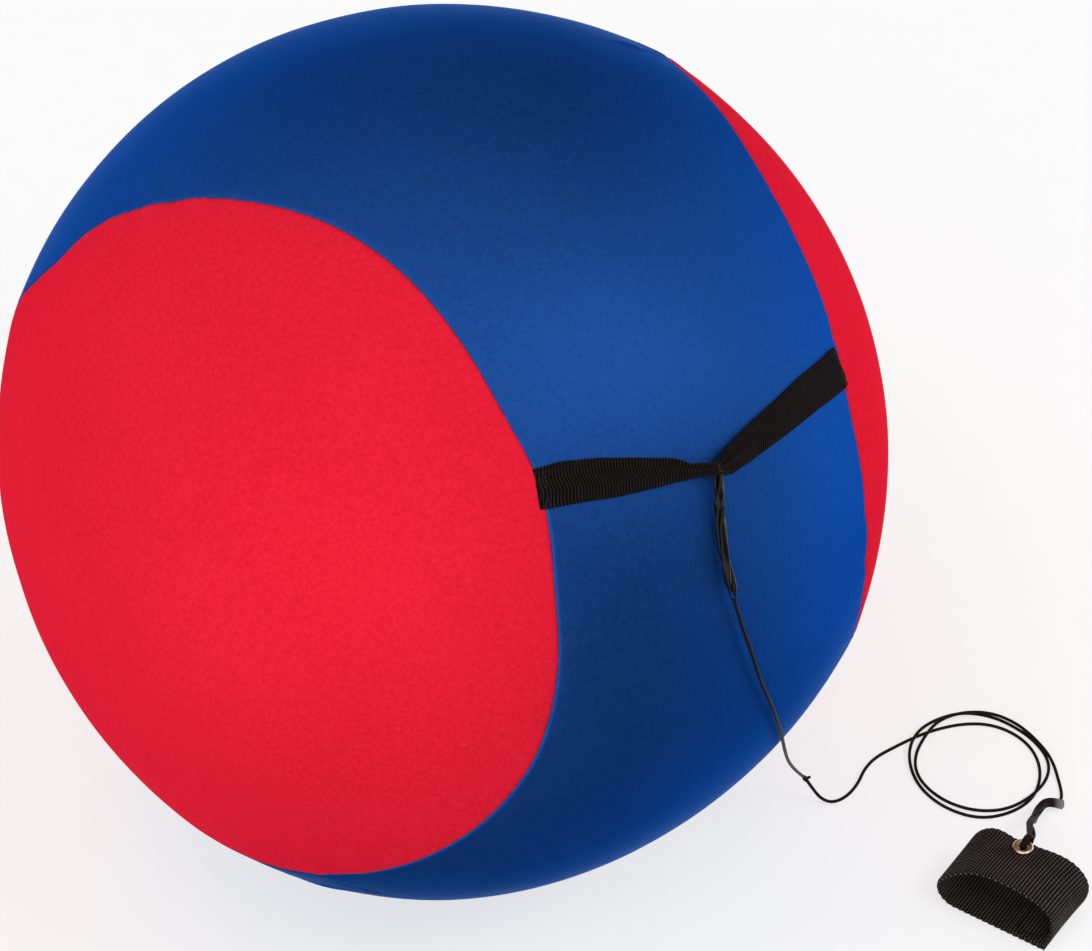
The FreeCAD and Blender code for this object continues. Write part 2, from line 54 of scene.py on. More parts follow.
# The seam is four arcs, two round the red lobes and two round the blue ones
LOBE_TILT = math.radians(71.9)
LOBE_COS = math.sin(LOBE_TILT) / math.sqrt(2)
LOBE_ANGLE = math.acos(LOBE_COS)
LOBE_SIDE, LOBE_OUT = math.sin(LOBE_TILT), math.cos(LOBE_TILT)
RED_LOBES = np.array(((LOBE_SIDE, 0, LOBE_OUT), (-LOBE_SIDE, 0, LOBE_OUT)))
BLUE_LOBES = np.array(((0, LOBE_SIDE, -LOBE_OUT), (0, -LOBE_SIDE, -LOBE_OUT)))
COVER_SHOWN = 0.8 * MM  # thickness of the cloth
LEAST_LIFT = -2.55 * MM  # the cover's inner face just clears the bladder

ZIP_HALF_ANGLE = math.radians(20)
ZIP_SLOT_HALF = 5.2 * MM
ZIP_SLOT_END = math.radians(21.5)


def unit(v):
    v = np.asarray(v, float)
    return v / np.linalg.norm(v, axis=-1, keepdims=True)


def smooth(x, low=0.0, high=1.0):
    t = np.clip((np.asarray(x, float) - low) / (high - low), 0, 1)
    return t * t * (3 - 2 * t)


def noise_at(points, scale, seed=0.0):
    shift = Vector((seed, -seed, 0.5 * seed))
    return np.array([noise.noise(Vector(p) * scale + shift) for p in points])


def to_set(p):
    """Ball axes to the set's axes."""
    return np.asarray(p) @ BALL_TURN.T + BALL_CENTRE


def direction(along, across):
    """Unit vector in ball axes at two angles in degrees."""
    a, b = np.radians(along), np.radians(across)
    return np.stack([np.sin(a) * np.cos(b), np.sin(b), np.cos(a) * np.cos(b)], -1)


# ------------------------------------------------------------------ shape of the stretched cover
def seam_distance(p):
    """Signed angle to the seam, positive in red, and the nearest point of the seam."""
    out = np.zeros(len(p))
    foot = np.zeros_like(p)
    front = p[:, 2] >= 0
    for part, lobes, sign in ((front, RED_LOBES, 1), (~front, BLUE_LOBES, -1)):
        if not part.any():
            continue
        q = p[part]
        dots = q @ lobes.T
        axis = lobes[np.argmax(dots, axis=1)]
        near = dots.max(axis=1)
        out[part] = sign * (LOBE_ANGLE - np.arccos(np.clip(near, -1, 1)))
        side = q - axis * near[:, None]
        side /= np.maximum(np.linalg.norm(side, axis=1, keepdims=True), 1e-9)
        foot[part] = axis * LOBE_COS + side * math.sin(LOBE_ANGLE)
    return out, foot


def lobe_depth(p):
    """Smooth unsigned angle to the seam, the same on both halves of the ball."""
    front = np.abs(LOBE_ANGLE - np.arccos(np.clip((p @ RED_LOBES.T).max(axis=1), -1, 1)))
    back = np.abs(LOBE_ANGLE - np.arccos(np.clip((p @ BLUE_LOBES.T).max(axis=1), -1, 1)))
    share = smooth(p[:, 2], -0.3, 0.3)
    return front * share + back * (1 - share)


# How far the seam strays from its drawn arcs: for each red lobe, the turn round it in degrees
# and the distance towards blue in mm
SEAM_STRAY = (
    (
        (-65, 3), (-45, 6.2), (-33, 4.2), (-20, 0.9), (-5, 1), (5, -3), (13, -6), (28, -3),
        (40, -0.6), (50, -1.9), (65, 0.5),
    ),
    (
        (-115, 4.2), (-109, 2), (-100, -2.8), (-85, -5.6), (-70, -4), (-55, -0.9), (-43, 1.2),
        (-28, -0.5), (-13, -3.6), (4, 1.2), (16, -2.1), (30, 1), (42, 4), (55, 4.9), (70, 2.6),
        (90, 2.3), (105, 4), (115, 6.6),
    ),
)
SEAM_EASE = (-4, -2, 0, 2, 4)  # degrees over which the stray is evened out
SEAM_WANDER = 1.3 * MM  # how far the seam strays where it has no points
SEAM_REACH = 24 * MM  # how far from the seam the cloth moves with it


def seam_stray(foot):
    """How far the seam strays at points on it, in metres towards blue."""
    out = SEAM_WANDER * noise_at(foot, 6.0, 2.2)
    for axis, stray in zip(RED_LOBES, SEAM_STRAY):
        ahead = unit(np.array((0, 0, 1)) - axis * axis[2])
        turn = np.degrees(np.arctan2(foot[:, 1], foot @ ahead))
        ends = abs(stray[0][0])
        # the points hold on the ball's front half and fade out just behind it
        share = smooth(foot[:, 2], -0.12, 0.02) * (np.sign(foot[:, 0]) == np.sign(axis[0]))
        if ends < 90:
            share = share * (1 - smooth(np.abs(turn), ends - 15, ends - 1))
        there = np.mean([np.interp(turn + ease, *zip(*stray)) for ease in SEAM_EASE], axis=0)
        out += share * (there * MM - out)
    return out


def strayed(p):
    """Points beside the seam, moved over the ball with it."""
    signed, foot = seam_distance(p)
    front = p[:, 2] >= 0
    way = np.zeros_like(p)
    for part, lobes, sign in ((front, RED_LOBES, 1), (~front, BLUE_LOBES, -1)):
        q = p[part]
        dots = q @ lobes.T
        way[part] = sign * (q * dots.max(axis=1)[:, None] - lobes[np.argmax(dots, axis=1)])
    near = np.exp(-((signed * BALL_RADIUS / SEAM_REACH) ** 2))
    shift = seam_stray(foot) / BALL_RADIUS * near
    return unit(p + unit(way) * shift[:, None])


# Where the blown-up cover stands off a true sphere: direction, width in degrees, height in mm
SWELLS = (
    ((-0.398, -0.914, 0.077), 26, 3.2),
    ((-0.894, 0.056, -0.445), 24, -0.5),
    ((-0.740, 0.510, -0.437), 11, -1.3),
    ((-0.265, 0.940, -0.213), 12, 0.8),
)

# Folds of the cloth: start and end directions, half width and height in mm
FOLDS = (
    ((0.540, 0.764, 0.352), (0.579, 0.657, 0.484), 2.2, 0.8),
    ((0.394, 0.801, 0.451), (0.545, 0.706, 0.453), 2.6, 0.9),
    ((0.576, 0.625, 0.526), (0.526, 0.536, 0.660), 3.2, 0.6),
    ((-0.640, 0.754, 0.148), (-0.721, 0.673, 0.163), 2.4, -0.75),
    ((-0.628, 0.747, 0.219), (-0.700, 0.664, 0.263), 3.0, 0.5),
    ((-0.600, 0.740, 0.306), (-0.664, 0.645, 0.378), 2.6, -0.45),
    ((-0.665, 0.743, 0.077), (-0.744, 0.665, 0.066), 3.2, 0.6),
    ((-0.637, 0.744, 0.199), (-0.575, 0.812, 0.102), 2.8, 0.5),
    ((-0.643, -0.761, -0.086), (-0.557, -0.827, 0.079), 2.6, 1.2),
    ((-0.653, -0.752, 0.090), (-0.513, -0.848, 0.136), 2.4, -0.8),
    ((-0.659, -0.738, 0.146), (-0.719, -0.641, 0.269), 2.6, -0.7),
    ((-0.642, -0.734, 0.221), (-0.700, -0.638, 0.321), 2.6, 0.45),
    ((-0.622, -0.722, 0.303), (-0.674, -0.636, 0.376), 2.6, -0.6),
)


def fold_height(p):
    """Height of the folds, in metres."""
    out = np.zeros(len(p))
    for start, end, wide, high in FOLDS:
        a, b = unit(start), unit(end)
        way = b - a
        t = np.clip((p - a) @ way / way.dot(way), 0, 1)
        gap = np.linalg.norm(p - (a + t[:, None] * way), axis=1) * BALL_RADIUS
        out += high * MM * np.exp(-((gap / (wide * MM)) ** 2)) * np.sin(math.pi * np.clip(t, 0.08, 0.92))
    return out


def zip_fade(p):
    """0 beside the zip, 1 away from it, so that the slot's edge lies at the CAD radius."""
    angle = np.arctan2(p[:, 0], -p[:, 2])
    across = np.abs(p[:, 1]) * BALL_RADIUS
    past = np.maximum(np.abs(angle) - ZIP_SLOT_END, 0) * BALL_RADIUS
    gap = np.hypot(past, np.maximum(across - ZIP_SLOT_HALF, 0))
    gap[p[:, 2] > 0] = 1
    return smooth(gap, 6 * MM, 45 * MM)


SEAM_HEIGHT = 2.8 * MM  # the cover's height over the sphere at the seam
LOBE_DROP = 5.2 * MM  # how much lower it would be far from the seam
LOBE_EASE = 18  # degrees from the seam over which it drops
SEAM_ROUND = math.radians(0.7)  # rounds the ridge along the seam
GROOVE_DEPTH, GROOVE_WIDTH = 0.55 * MM, 0.75 * MM
# Puckers along the seam: scale and seed of the noise, height in mm and reach from the seam in mm
PUCKERS = ((34, 3.1, 0.9, 7), (13, 8.7, 1.2, 17))
FOOT_LIFT = 0.25 * MM  # height over the sphere where the ball stands


def cover_lift(p):
    """Height of the cover's outer face over the plain sphere, in metres."""
    p = unit(p)
    signed, foot = seam_distance(p)
    gap = np.abs(signed) * BALL_RADIUS
    depth = np.hypot(lobe_depth(p), SEAM_ROUND)
    lift = SEAM_HEIGHT - LOBE_DROP * (1 - np.exp(-np.degrees(depth) / LOBE_EASE))
    for middle, wide, high in SWELLS:
        away = np.degrees(np.arccos(np.clip(p @ unit(middle), -1, 1)))
        lift += high * MM * np.exp(-((away / wide) ** 2))
    lift -= GROOVE_DEPTH * np.exp(-((gap / GROOVE_WIDTH) ** 2))
    # the puckers fade where the two halves meet, because the nearest seam changes there
    where = smooth(noise_at(foot, 4.0, 1.3), -0.15, 0.45) * smooth(np.abs(p[:, 2]), 0.0, 0.09)
    for scale, seed, high, reach in PUCKERS:
        lift += high * MM * noise_at(foot, scale, seed) * where * np.exp(-gap / (reach * MM))
    lift += fold_height(p)
    lift += 0.35 * MM * noise_at(p, 5.0, 5.5) * smooth(gap, 0, 40 * MM)
    lift = np.maximum(lift, LEAST_LIFT) * zip_fade(p)
    # where the ball stands on the floor, the cover keeps to the sphere
    down = np.degrees(np.arccos(np.clip(-(p @ BALL_TURN.T)[:, 2], -1, 1)))
    settle = smooth(down, 7, 22)
    return lift * settle + FOOT_LIFT * (1 - settle)


def on_cover(along, across, lift):
    """Point over the cover's outer face, in the set's axes."""
    p = direction(np.asarray(along, float), np.asarray(across, float))
    flat = p.reshape(-1, 3)
    height = cover_lift(flat) + np.broadcast_to(lift, p.shape[:-1]).reshape(-1)
    return to_set(flat * (BALL_RADIUS + height)[:, None]).reshape(p.shape)


# ------------------------------------------------------------------ mesh tools
def linked(obj):
    bpy.context.scene.collection.objects.link(obj)
    return obj


def evaluated_mesh(obj):
    bpy.context.view_layer.update()
    return bpy.data.meshes.new_from_object(obj.evaluated_get(bpy.context.evaluated_depsgraph_get()))


def make(name, verts, faces, lay, material):
    """Mesh object. lay gives each point its place along and across the cloth, in metres."""
    mesh = bpy.data.meshes.new(name)
    mesh.from_pydata([tuple(v) for v in verts], [], [tuple(f) for f in faces])
    mesh.polygons.foreach_set("use_smooth", [True] * len(mesh.polygons))
    if lay is not None:
        full = np.zeros((len(verts), 3), np.float32)
        full[:, :2] = lay
        mesh.attributes.new("lay", "FLOAT_VECTOR", "POINT").data.foreach_set("vector", full.ravel())
    mesh.materials.append(material)
    return linked(bpy.data.objects.new(name, mesh))


def declare(obj, body, nodes=()):
    """Make an object ride on a body and stand for CAD nodes, which it hides."""
    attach(obj, body)
    if nodes:
        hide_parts(*nodes)
    return obj


def piece(name, part, material, body, nodes=()):
    """Declared mesh object, from its points, faces and lay."""
    return declare(make(name, *part, material), body, nodes)


def grid_normals(grid):
    """Unit normals of a surface given as a grid of points."""
    return unit(np.cross(np.gradient(grid, axis=0), np.gradient(grid, axis=1)))


def slab(grid, thick, lay, outer=0.0, inner=0.0):
    """Closed sheet about a grid of points. outer and inner add height to its two faces."""
    n = grid_normals(grid)
    top = grid + n * np.broadcast_to(thick / 2 + outer, grid.shape[:2])[..., None]
    low = grid - n * np.broadcast_to(thick / 2 + inner, grid.shape[:2])[..., None]
    verts = np.concatenate([top.reshape(-1, 3), low.reshape(-1, 3)])
    shift = grid.shape[0] * grid.shape[1]
    index = np.arange(shift).reshape(grid.shape[:2])
    quads = np.stack([index[:-1, :-1], index[1:, :-1], index[1:, 1:], index[:-1, 1:]], -1).reshape(-1, 4)
    faces = quads.tolist() + (quads[:, ::-1] + shift).tolist()
    rim = list(index[:, 0]) + list(index[-1, 1:]) + list(index[-2::-1, -1]) + list(index[0, -2:0:-1])
    faces += [(j, i, i + shift, j + shift) for i, j in zip(rim, rim[1:] + rim[:1])]
    return verts, faces, np.concatenate([lay.reshape(-1, 2)] * 2)


def nurbs_line(points):
    """Points along the NURBS spline that has these control points."""
    data = bpy.data.curves.new("line", "CURVE")
    data.dimensions = "3D"
    data.resolution_u = 16
    spline = data.splines.new("NURBS")
    spline.points.add(len(points) - 1)
    for point, co in zip(spline.points, points):
        point.co = (*co, 1.0)
    spline.order_u = 3
    spline.use_endpoint_u = True
    obj = linked(bpy.data.objects.new("line", data))
    mesh = evaluated_mesh(obj)
    line = np.array([v.co for v in mesh.vertices], float)
    bpy.data.objects.remove(obj)
    bpy.data.curves.remove(data)
    bpy.data.meshes.remove(mesh)
    return line


def catmull(points, per_span):
    """Smooth line through the points."""
    ext = np.concatenate([[2 * points[0] - points[1]], points, [2 * points[-1] - points[-2]]])
    t = (np.arange(per_span) / per_span)[:, None]
    out = []
    for p0, p1, p2, p3 in zip(ext, ext[1:], ext[2:], ext[3:]):
        square, cube = 2 * p0 - 5 * p1 + 4 * p2 - p3, 3 * p1 - p0 - 3 * p2 + p3
        out.append(0.5 * (2 * p1 + (p2 - p0) * t + square * t**2 + cube * t**3))
    return np.concatenate(out + [points[-1:]])


def run_along(line):
    """Distance of each point along a line."""
    return np.concatenate([[0], np.cumsum(np.linalg.norm(np.diff(line, axis=0), axis=1))])


def even(line, step):
    """The same line with points at even steps, and the distance of each along it."""
    run = run_along(line)
    count = max(2, int(round(run[-1] / step)) + 1)
    at = np.linspace(0, run[-1], count)
    return np.stack([np.interp(at, run, line[:, k]) for k in range(3)], -1), at


def soften(values, half):
    """The same values, each evened out over its neighbours."""
    kernel = np.hanning(2 * half + 1)
    return np.convolve(np.pad(values, half, "edge"), kernel / kernel.sum(), "valid")


def circle(radius, count):
    a = np.arange(count) / count * TURN
    return radius * np.cos(a), radius * np.sin(a)


def ring_faces(rows, cols):
    """Quads between rings of points, and from the last ring back to the first."""
    index = np.arange(rows * cols).reshape(rows, cols)
    ahead = np.roll(index, -1, axis=1)
    quads = np.stack([index, ahead, np.roll(ahead, -1, axis=0), np.roll(index, -1, axis=0)], -1)
    return quads.reshape(-1, 4).tolist()


def ring_lay(at, cols):
    return np.stack(np.meshgrid(at, np.arange(cols) / cols, indexing="ij"), -1).reshape(-1, 2)


def sweep(line, at, section, up=(0, 0, 1)):
    """Tube with closed ends. section(i) gives offsets sideways and outwards at each point."""
    along = unit(np.gradient(line, axis=0))
    side = unit(np.cross(up, along[0]))
    rings = []
    for i, (middle, ahead) in enumerate(zip(line, along)):
        side = side - ahead * side.dot(ahead)
        side = side / np.linalg.norm(side)
        x, y = section(i)
        rings.append(middle + np.outer(x, side) + np.outer(y, np.cross(ahead, side)))
    rows, cols = len(line), len(rings[0])
    faces = ring_faces(rows, cols)[:-cols]
    faces += [range(cols)[::-1], range((rows - 1) * cols, rows * cols)]
    return np.concatenate(rings), faces, ring_lay(at, cols)


def hoop(line, at, first, second, half_first, half_second, ring):
    """Closed tube round a closed line. first and second are the directions across it."""
    x = circle(half_first, ring)[0][None, :, None]
    y = circle(half_second, ring)[1][None, :, None]
    rings = line[:, None] + x * first[:, None] + y * second[:, None]
    return rings.reshape(-1, 3), ring_faces(len(line), ring), ring_lay(at, ring)


def joined(parts):
    """Several (verts, faces, lay) as one."""
    faces, shift = [], 0
    for verts, some_faces, lay in parts:
        faces += [[i + shift for i in face] for face in some_faces]
        shift += len(verts)
    return np.concatenate([part[0] for part in parts]), faces, np.concatenate([part[2] for part in parts])


def stitch(middle, way, up, long, radius):
    """One short run of thread that dips into the cloth at both ends."""
    steps = np.linspace(-1, 1, 7)
    line = np.array([middle + way * (s * long / 2) + up * (-0.55 * radius * s**4) for s in steps])
    radii = radius * np.sqrt(np.maximum(1 - (np.abs(steps) * 0.985) ** 6, 0.05))
    return sweep(line, (steps + 1) * long / 2, lambda i: circle(radii[i], 7), up)


# ------------------------------------------------------------------ materials
class Value:
    """A node's output, which can be added and multiplied."""

    def __init__(self, nodes, socket):
        self.nodes = nodes
        self.socket = socket

    def __add__(self, other):
        return self.nodes.math("ADD", self, other)

    def __mul__(self, other):
        return self.nodes.math("MULTIPLY", self, other)

    def clamped(self):
        self.socket.node.use_clamp = True
        return self


class Nodes:
    """Short way to build the nodes of a material or of the world."""

    def __init__(self, owner):
        owner.use_nodes = True
        self.owner = owner
        self.tree = owner.node_tree

    def put(self, value, socket):
        """Give a socket a number or colour, or link it to another node's output."""
        if isinstance(value, Value):
            self.tree.links.new(value.socket, socket)
        elif isinstance(value, tuple) and socket.type == "RGBA":
            socket.default_value = (*value, 1)
        else:
            socket.default_value = value

    def add(self, kind, **values):
        node = self.tree.nodes.new(kind)
        for key, value in values.items():
            if hasattr(node, key):
                setattr(node, key, value)
            else:
                self.put(value, node.inputs[key.replace("_", " ")])
        return node

    def output(self, name, kind, **values):
        return Value(self, self.add(kind, **values).outputs[name])

    def math(self, operation, *values):
        node = self.add("ShaderNodeMath", operation=operation)
        for socket, value in zip(node.inputs, values):
            self.put(value, socket)
        return Value(self, node.outputs[0])

    def lay(self):
        """The cloth's own coordinates, along and across it."""
        place = self.output("Vector", "ShaderNodeAttribute", attribute_name="lay")
        split = self.add("ShaderNodeSeparateXYZ", Vector=place)
        return Value(self, split.outputs[0]), Value(self, split.outputs[1])

    def noise(self, scale, detail, vector=None):
        vector = vector or self.output("Object", "ShaderNodeTexCoord")
        return self.output("Fac", "ShaderNodeTexNoise", Scale=scale, Detail=detail, Vector=vector)

    def mix(self, fac, a, b):
        node = self.add("ShaderNodeMix", data_type="RGBA")
        for k, value in ((0, fac), (6, a), (7, b)):
            self.put(value, node.inputs[k])
        return Value(self, node.outputs[2])

    def finish(self, shade, deep, bright, rough, bump=None, **sockets):
        """Set the shader's sockets and give the material. bump is (height, distance, strength)."""
        sockets.update(Base_Color=self.mix(shade, deep, bright), Roughness=rough)
        if bump:
            height, distance, strength = bump
            sockets["Normal"] = self.output(
                "Normal", "ShaderNodeBump", Strength=strength, Distance=distance, Height=height)
        for key, value in sockets.items():
            self.put(value, self.tree.nodes["Principled BSDF"].inputs[key.replace("_", " ")])
        return self.owner


def new_material(name):
    return Nodes(bpy.data.materials.new(name))


def satin(name, deep, bright, metallic, gloss, tint):
    """Stretched polyester cloth: a fine plain weave with a soft coloured gloss."""
    n = new_material(name)
    x, y = n.lay()
    pitch = TURN / (0.62 * MM)
    weave = n.math("SINE", x * pitch) * n.math("SINE", y * pitch)
    slub = n.noise(900, 2.0)
    mottle = n.noise(430, 2.0)
    cloud = n.noise(9, 3.0)
    # the weave term adds a little painted shade in the gaps between threads; the noises are random tone
    shade = slub * 0.55 + mottle * 0.95 + cloud * 0.5 + weave * 0.12 + -0.5
    relief = weave * 0.4 + (slub * 0.6 + mottle)
    return n.finish(shade.clamped(), deep, bright, mottle * 0.14 + gloss, (relief, 0.09 * MM, 0.7),
                    Metallic=metallic, Specular_IOR_Level=0.0, Specular_Tint=tint)


def ribbed(name, deep, bright, rib, yarn, rough, specular, highlight_power=1.0, highlight_floor=0.35):
    """Webbing or elastic: twisted yarn over ribs that are real geometry. rib and yarn are pitches. The colour
    is painted shade in the rib grooves and painted highlights on the rib tops and yarn beads.
    """
    n = new_material(name)
    x, y = n.lay()
    ribs = x * (TURN / rib)
    # painted shade: the colour darkens into each rib's groove and is lightest on its top
    top = n.math("COSINE", ribs) * -0.5 + 0.5
    ply = n.math("SINE", y * (TURN / yarn) + ribs * 0.5) * 0.5 + 0.5
    # painted highlights: bright spots on the yarn beads along each rib, with a darker level between them
    beads = n.math("POWER", ply, highlight_power) * (1 - highlight_floor) + highlight_floor
    fuzz = n.noise(1500, 3.0)
    patch = n.noise(160, 2.0)
    shade = n.math("POWER", top, 1.5) * beads * (fuzz * 1.3 + 0.35) * (patch * 1.1 + 0.45)
    relief = ply * 0.7 + fuzz * 0.7
    return n.finish(shade.clamped(), deep, bright, fuzz * 0.2 + rough, (relief, 0.16 * MM, 0.9),
                    Specular_IOR_Level=specular, Sheen_Weight=0.02, Sheen_Roughness=0.5)


def braid(name, deep, bright):
    """Thin cord with a fine crossed braid."""
    n = new_material(name)
    x, y = n.lay()
    run = x * (TURN / (1.7 * MM))
    turn = y * (TURN * 4)
    cross = n.math("SINE", run + turn) * n.math("SINE", n.math("SUBTRACT", run, turn))
    fuzz = n.noise(1800, 2.0)
    shade = cross * 0.3 + fuzz
    relief = cross * 0.7 + fuzz * 0.3
    return n.finish(shade.clamped(), deep, bright, fuzz * 0.2 + 0.42, (relief, 0.12 * MM, 0.8),
                    Specular_IOR_Level=0.07)


def rubber(name, deep, bright, rough, specular=0.5, scale=260, pale_end=None):
    """Moulded or cut rubber with fine scuffs, greyer within pale_end of its start."""
    n = new_material(name)
    grain = n.noise(scale, 5.0)
    fine = n.noise(scale * 6, 2.0)
    shade = grain * 0.8 + fine * 0.3
    if pale_end:
        deep, bright = n.mix(shade.clamped(), deep, bright), (0.27, 0.25, 0.25)
        fade = n.lay()[0] * (-1 / pale_end) + 1.3
        shade = fade.clamped() * (fine * 0.8 + 0.5)
    return n.finish(shade.clamped(), deep, bright, grain * 0.22 + rough, (grain, 0.12 * MM, 0.5),
                    Specular_IOR_Level=specular)


def thread(name, deep, bright):
    """Sewing thread of two twisted plies."""
    n = new_material(name)
    x, y = n.lay()
    ply = n.math("SINE", x * (TURN / (0.9 * MM)) + y * (TURN * 2))
    fuzz = n.noise(2200, 2.0)
    shade = ply * 0.35 + fuzz
    return n.finish(shade.clamped(), deep, bright, fuzz * 0.2 + 0.4, (ply, 0.08 * MM, 0.8),
                    Specular_IOR_Level=0.2)


def metal(name, deep, bright, rough):
    """Stamped metal with light scratches and duller hollows."""
    n = new_material(name)
    cloud = n.noise(190, 4.0)
    place = n.output("Object", "ShaderNodeTexCoord")
    stretched = n.output("Vector", "ShaderNodeMapping", Scale=(1, 9, 1), Vector=place)
    scratch = n.noise(700, 3.0, stretched)
    return n.finish(cloud, deep, bright, cloud * 0.18 + scratch * 0.12 + rough, (scratch, 0.03 * MM, 0.35),
                    Metallic=1.0)


RED = satin("red_satin", (0.66, 0.009, 0.026), (0.90, 0.021, 0.052), 0.2, 0.47, (1.0, 0.22, 0.40))
BLUE = satin("blue_satin", (0.010, 0.052, 0.230), (0.016, 0.090, 0.375), 0.7, 0.36, (0.16, 0.42, 0.85))
# for these ribbed materials deep is the painted shade in the rib grooves and bright the painted highlights on
# rib tops and yarn beads
ELASTIC = ribbed(
    "elastic_rib", (0.0010, 0.0007, 0.0008), (0.030, 0.022, 0.020), 1.6 * MM, 0.9 * MM, 0.62, 0.03)
WEBBING = ribbed(
    "webbing_rib", (0.0012, 0.0009, 0.0010), (0.150, 0.122, 0.112), 2.0 * MM, 1.9 * MM, 0.65, 0.06,
    highlight_power=1.6, highlight_floor=0.12)
CORD = braid("cord_braid", (0.0026, 0.0018, 0.0019), (0.0180, 0.0135, 0.0135))
RUBBER = rubber("link_rubber", (0.0016, 0.0014, 0.0015), (0.009, 0.008, 0.0075), 0.18, 0.16)
STRIP = rubber(
    "strap_link_rubber", (0.0028, 0.0020, 0.0022), (0.017, 0.013, 0.013), 0.45, 0.06, pale_end=5.5 * MM)
THREAD = thread("sewing_black", (0.003, 0.003, 0.003), (0.012, 0.011, 0.010))
BLADDER = rubber("bladder_rubber", (0.30, 0.26, 0.20), (0.42, 0.37, 0.29), 0.45, scale=60)
VALVE = rubber("valve_rubber", (0.05, 0.05, 0.055), (0.10, 0.10, 0.11), 0.4)
TAPE = ribbed("zip_tape_cloth", (0.22, 0.004, 0.010), (0.62, 0.014, 0.032), 1.2 * MM, 0.7 * MM, 0.6, 0.2)
TEETH = rubber("zip_teeth_nylon", (0.32, 0.006, 0.015), (0.50, 0.014, 0.03), 0.3)
RED_THREAD = thread("sewing_red", (0.42, 0.008, 0.018), (0.66, 0.02, 0.04))
ZIP_METAL = metal("zip_metal", (0.09, 0.09, 0.10), (0.20, 0.20, 0.21), 0.22)
BRASS = metal("eyelet_brass", (0.70, 0.43, 0.25), (1.0, 0.79, 0.58), 0.13)

# ------------------------------------------------------------------ cover panels
SEAM_LOOPS = (0.0, 0.8, -0.8, 2.0, -2.0, 4.4, -4.4)  # mm from the seam
FINE_REACH = 17 * MM  # the mesh is finer within this distance of the seam
SLOT_EDGE = 0.005  # second cut beside the zip's slot, as a share of the ball's radius
FLOOR_GAP = 0.02 * MM


def cover_mesh():
    """Fine sphere in ball axes, cut along the seam and along lines beside it."""
    bm = bmesh.new()
    bmesh.ops.create_icosphere(bm, subdivisions=7, radius=1.0)
    gaps = seam_distance(unit(np.array([v.co for v in bm.verts])))[0] * BALL_RADIUS
    close = {v for v, gap in zip(bm.verts, gaps) if abs(gap) < FINE_REACH}
    edges = [e for e in bm.edges if e.verts[0] in close and e.verts[1] in close]
    bmesh.ops.subdivide_edges(bm, edges=edges, cuts=1, use_grid_fill=True)
    for v in bm.verts:
        v.co.normalize()

    def cut(co, no, wanted):
        """Cut the faces whose middle is wanted along a plane."""
        faces = [f for f in bm.faces if wanted(f.calc_center_median())]
        geom = set(faces)
        for f in faces:
            geom.update(f.edges)
            geom.update(f.verts)
        bmesh.ops.bisect_plane(bm, geom=list(geom), dist=1e-6, plane_co=co, plane_no=no)

    cut((0, 0, 0), (0, 0, 1), lambda c: abs(c.normalized().z) < 0.03)
    for lobes, front in ((RED_LOBES, True), (BLUE_LOBES, False)):
        for axis in map(Vector, lobes):
            for gap in SEAM_LOOPS:
                level = math.cos(LOBE_ANGLE - gap * MM / BALL_RADIUS)
                cut(axis * level, axis,
                    lambda c: (c.z >= 0) == front and abs(c.normalized().dot(axis) - level) < 0.02)

    def by_zip(c):
        return c.z < -0.6 and abs(c.y) < 0.08

    half = ZIP_SLOT_HALF / BALL_RADIUS
    for y in (half, -half, half + SLOT_EDGE, -half - SLOT_EDGE):
        cut((0, y, 0), (0, 1, 0), by_zip)
    for side in (1, -1):
        for end in (ZIP_SLOT_END, ZIP_SLOT_END + SLOT_EDGE):
            way = Vector((math.cos(end), 0, side * math.sin(end)))
            cut((0, 0, 0), way, lambda c: by_zip(c) and c.x * side > 0)
    for v in bm.verts:
        v.co.normalize()
    bmesh.ops.triangulate(bm, faces=[f for f in bm.faces if len(f.verts) > 4])
    bm.verts.index_update()
    points = np.array([v.co for v in bm.verts])
    faces = [[v.index for v in f.verts] for f in bm.faces]
    bm.free()
    return points, faces


def cover_panel(name, faces, material, long_axis, end_axis, ahead, node):
    """Closed shell of cloth for one panel, whose lay is its angles round two of the ball's axes."""
    used = sorted({i for f in faces for i in f})
    place = {i: k for k, i in enumerate(used)}
    p = cover_points[used]
    faces = [[place[i] for i in f] for f in faces]
    along = np.arctan2(p[:, long_axis], ahead * p[:, 2])
    lay = np.stack([along, np.arcsin(np.clip(p[:, end_axis], -1, 1))], -1) * BALL_RADIUS
    lift = cover_lift(p)
    shown = strayed(p)
    outer = to_set(shown * (BALL_RADIUS + lift)[:, None])
    inner = to_set(shown * (BALL_RADIUS + lift - COVER_SHOWN)[:, None])
    outer[:, 2] = np.maximum(outer[:, 2], FLOOR_GAP)
    inner[:, 2] = np.maximum(inner[:, 2], FLOOR_GAP + COVER_SHOWN)
    count = len(p)
    once = {}
    for f in faces:
        for a, b in zip(f, f[1:] + f[:1]):
            if (b, a) in once:
                del once[(b, a)]
            else:
                once[(a, b)] = True
    shell = faces + [[i + count for i in reversed(f)] for f in faces]
    shell += [[b, a, a + count, b + count] for a, b in once]
    part = np.concatenate([outer, inner]), shell, np.concatenate([lay] * 2)
    panel = piece(name, part, material, "root", [node])


cover_points, cover_faces = cover_mesh()
middles = unit(np.array([cover_points[f].mean(axis=0) for f in cover_faces]))
is_red = seam_distance(middles)[0] > 0
zip_angle = np.abs(np.arctan2(middles[:, 0], -middles[:, 2]))
in_slot = (middles[:, 2] < -0.5) & (zip_angle < ZIP_SLOT_END)
in_slot &= np.abs(middles[:, 1]) < ZIP_SLOT_HALF / BALL_RADIUS
red_faces = [f for f, r, s in zip(cover_faces, is_red, in_slot) if r and not s]
blue_faces = [f for f, r in zip(cover_faces, is_red) if not r]
cover_panel("cover_red", red_faces, RED, 0, 1, -1, "red_panel")
cover_panel("cover_blue", blue_faces, BLUE, 1, 0, 1, "blue_panel")

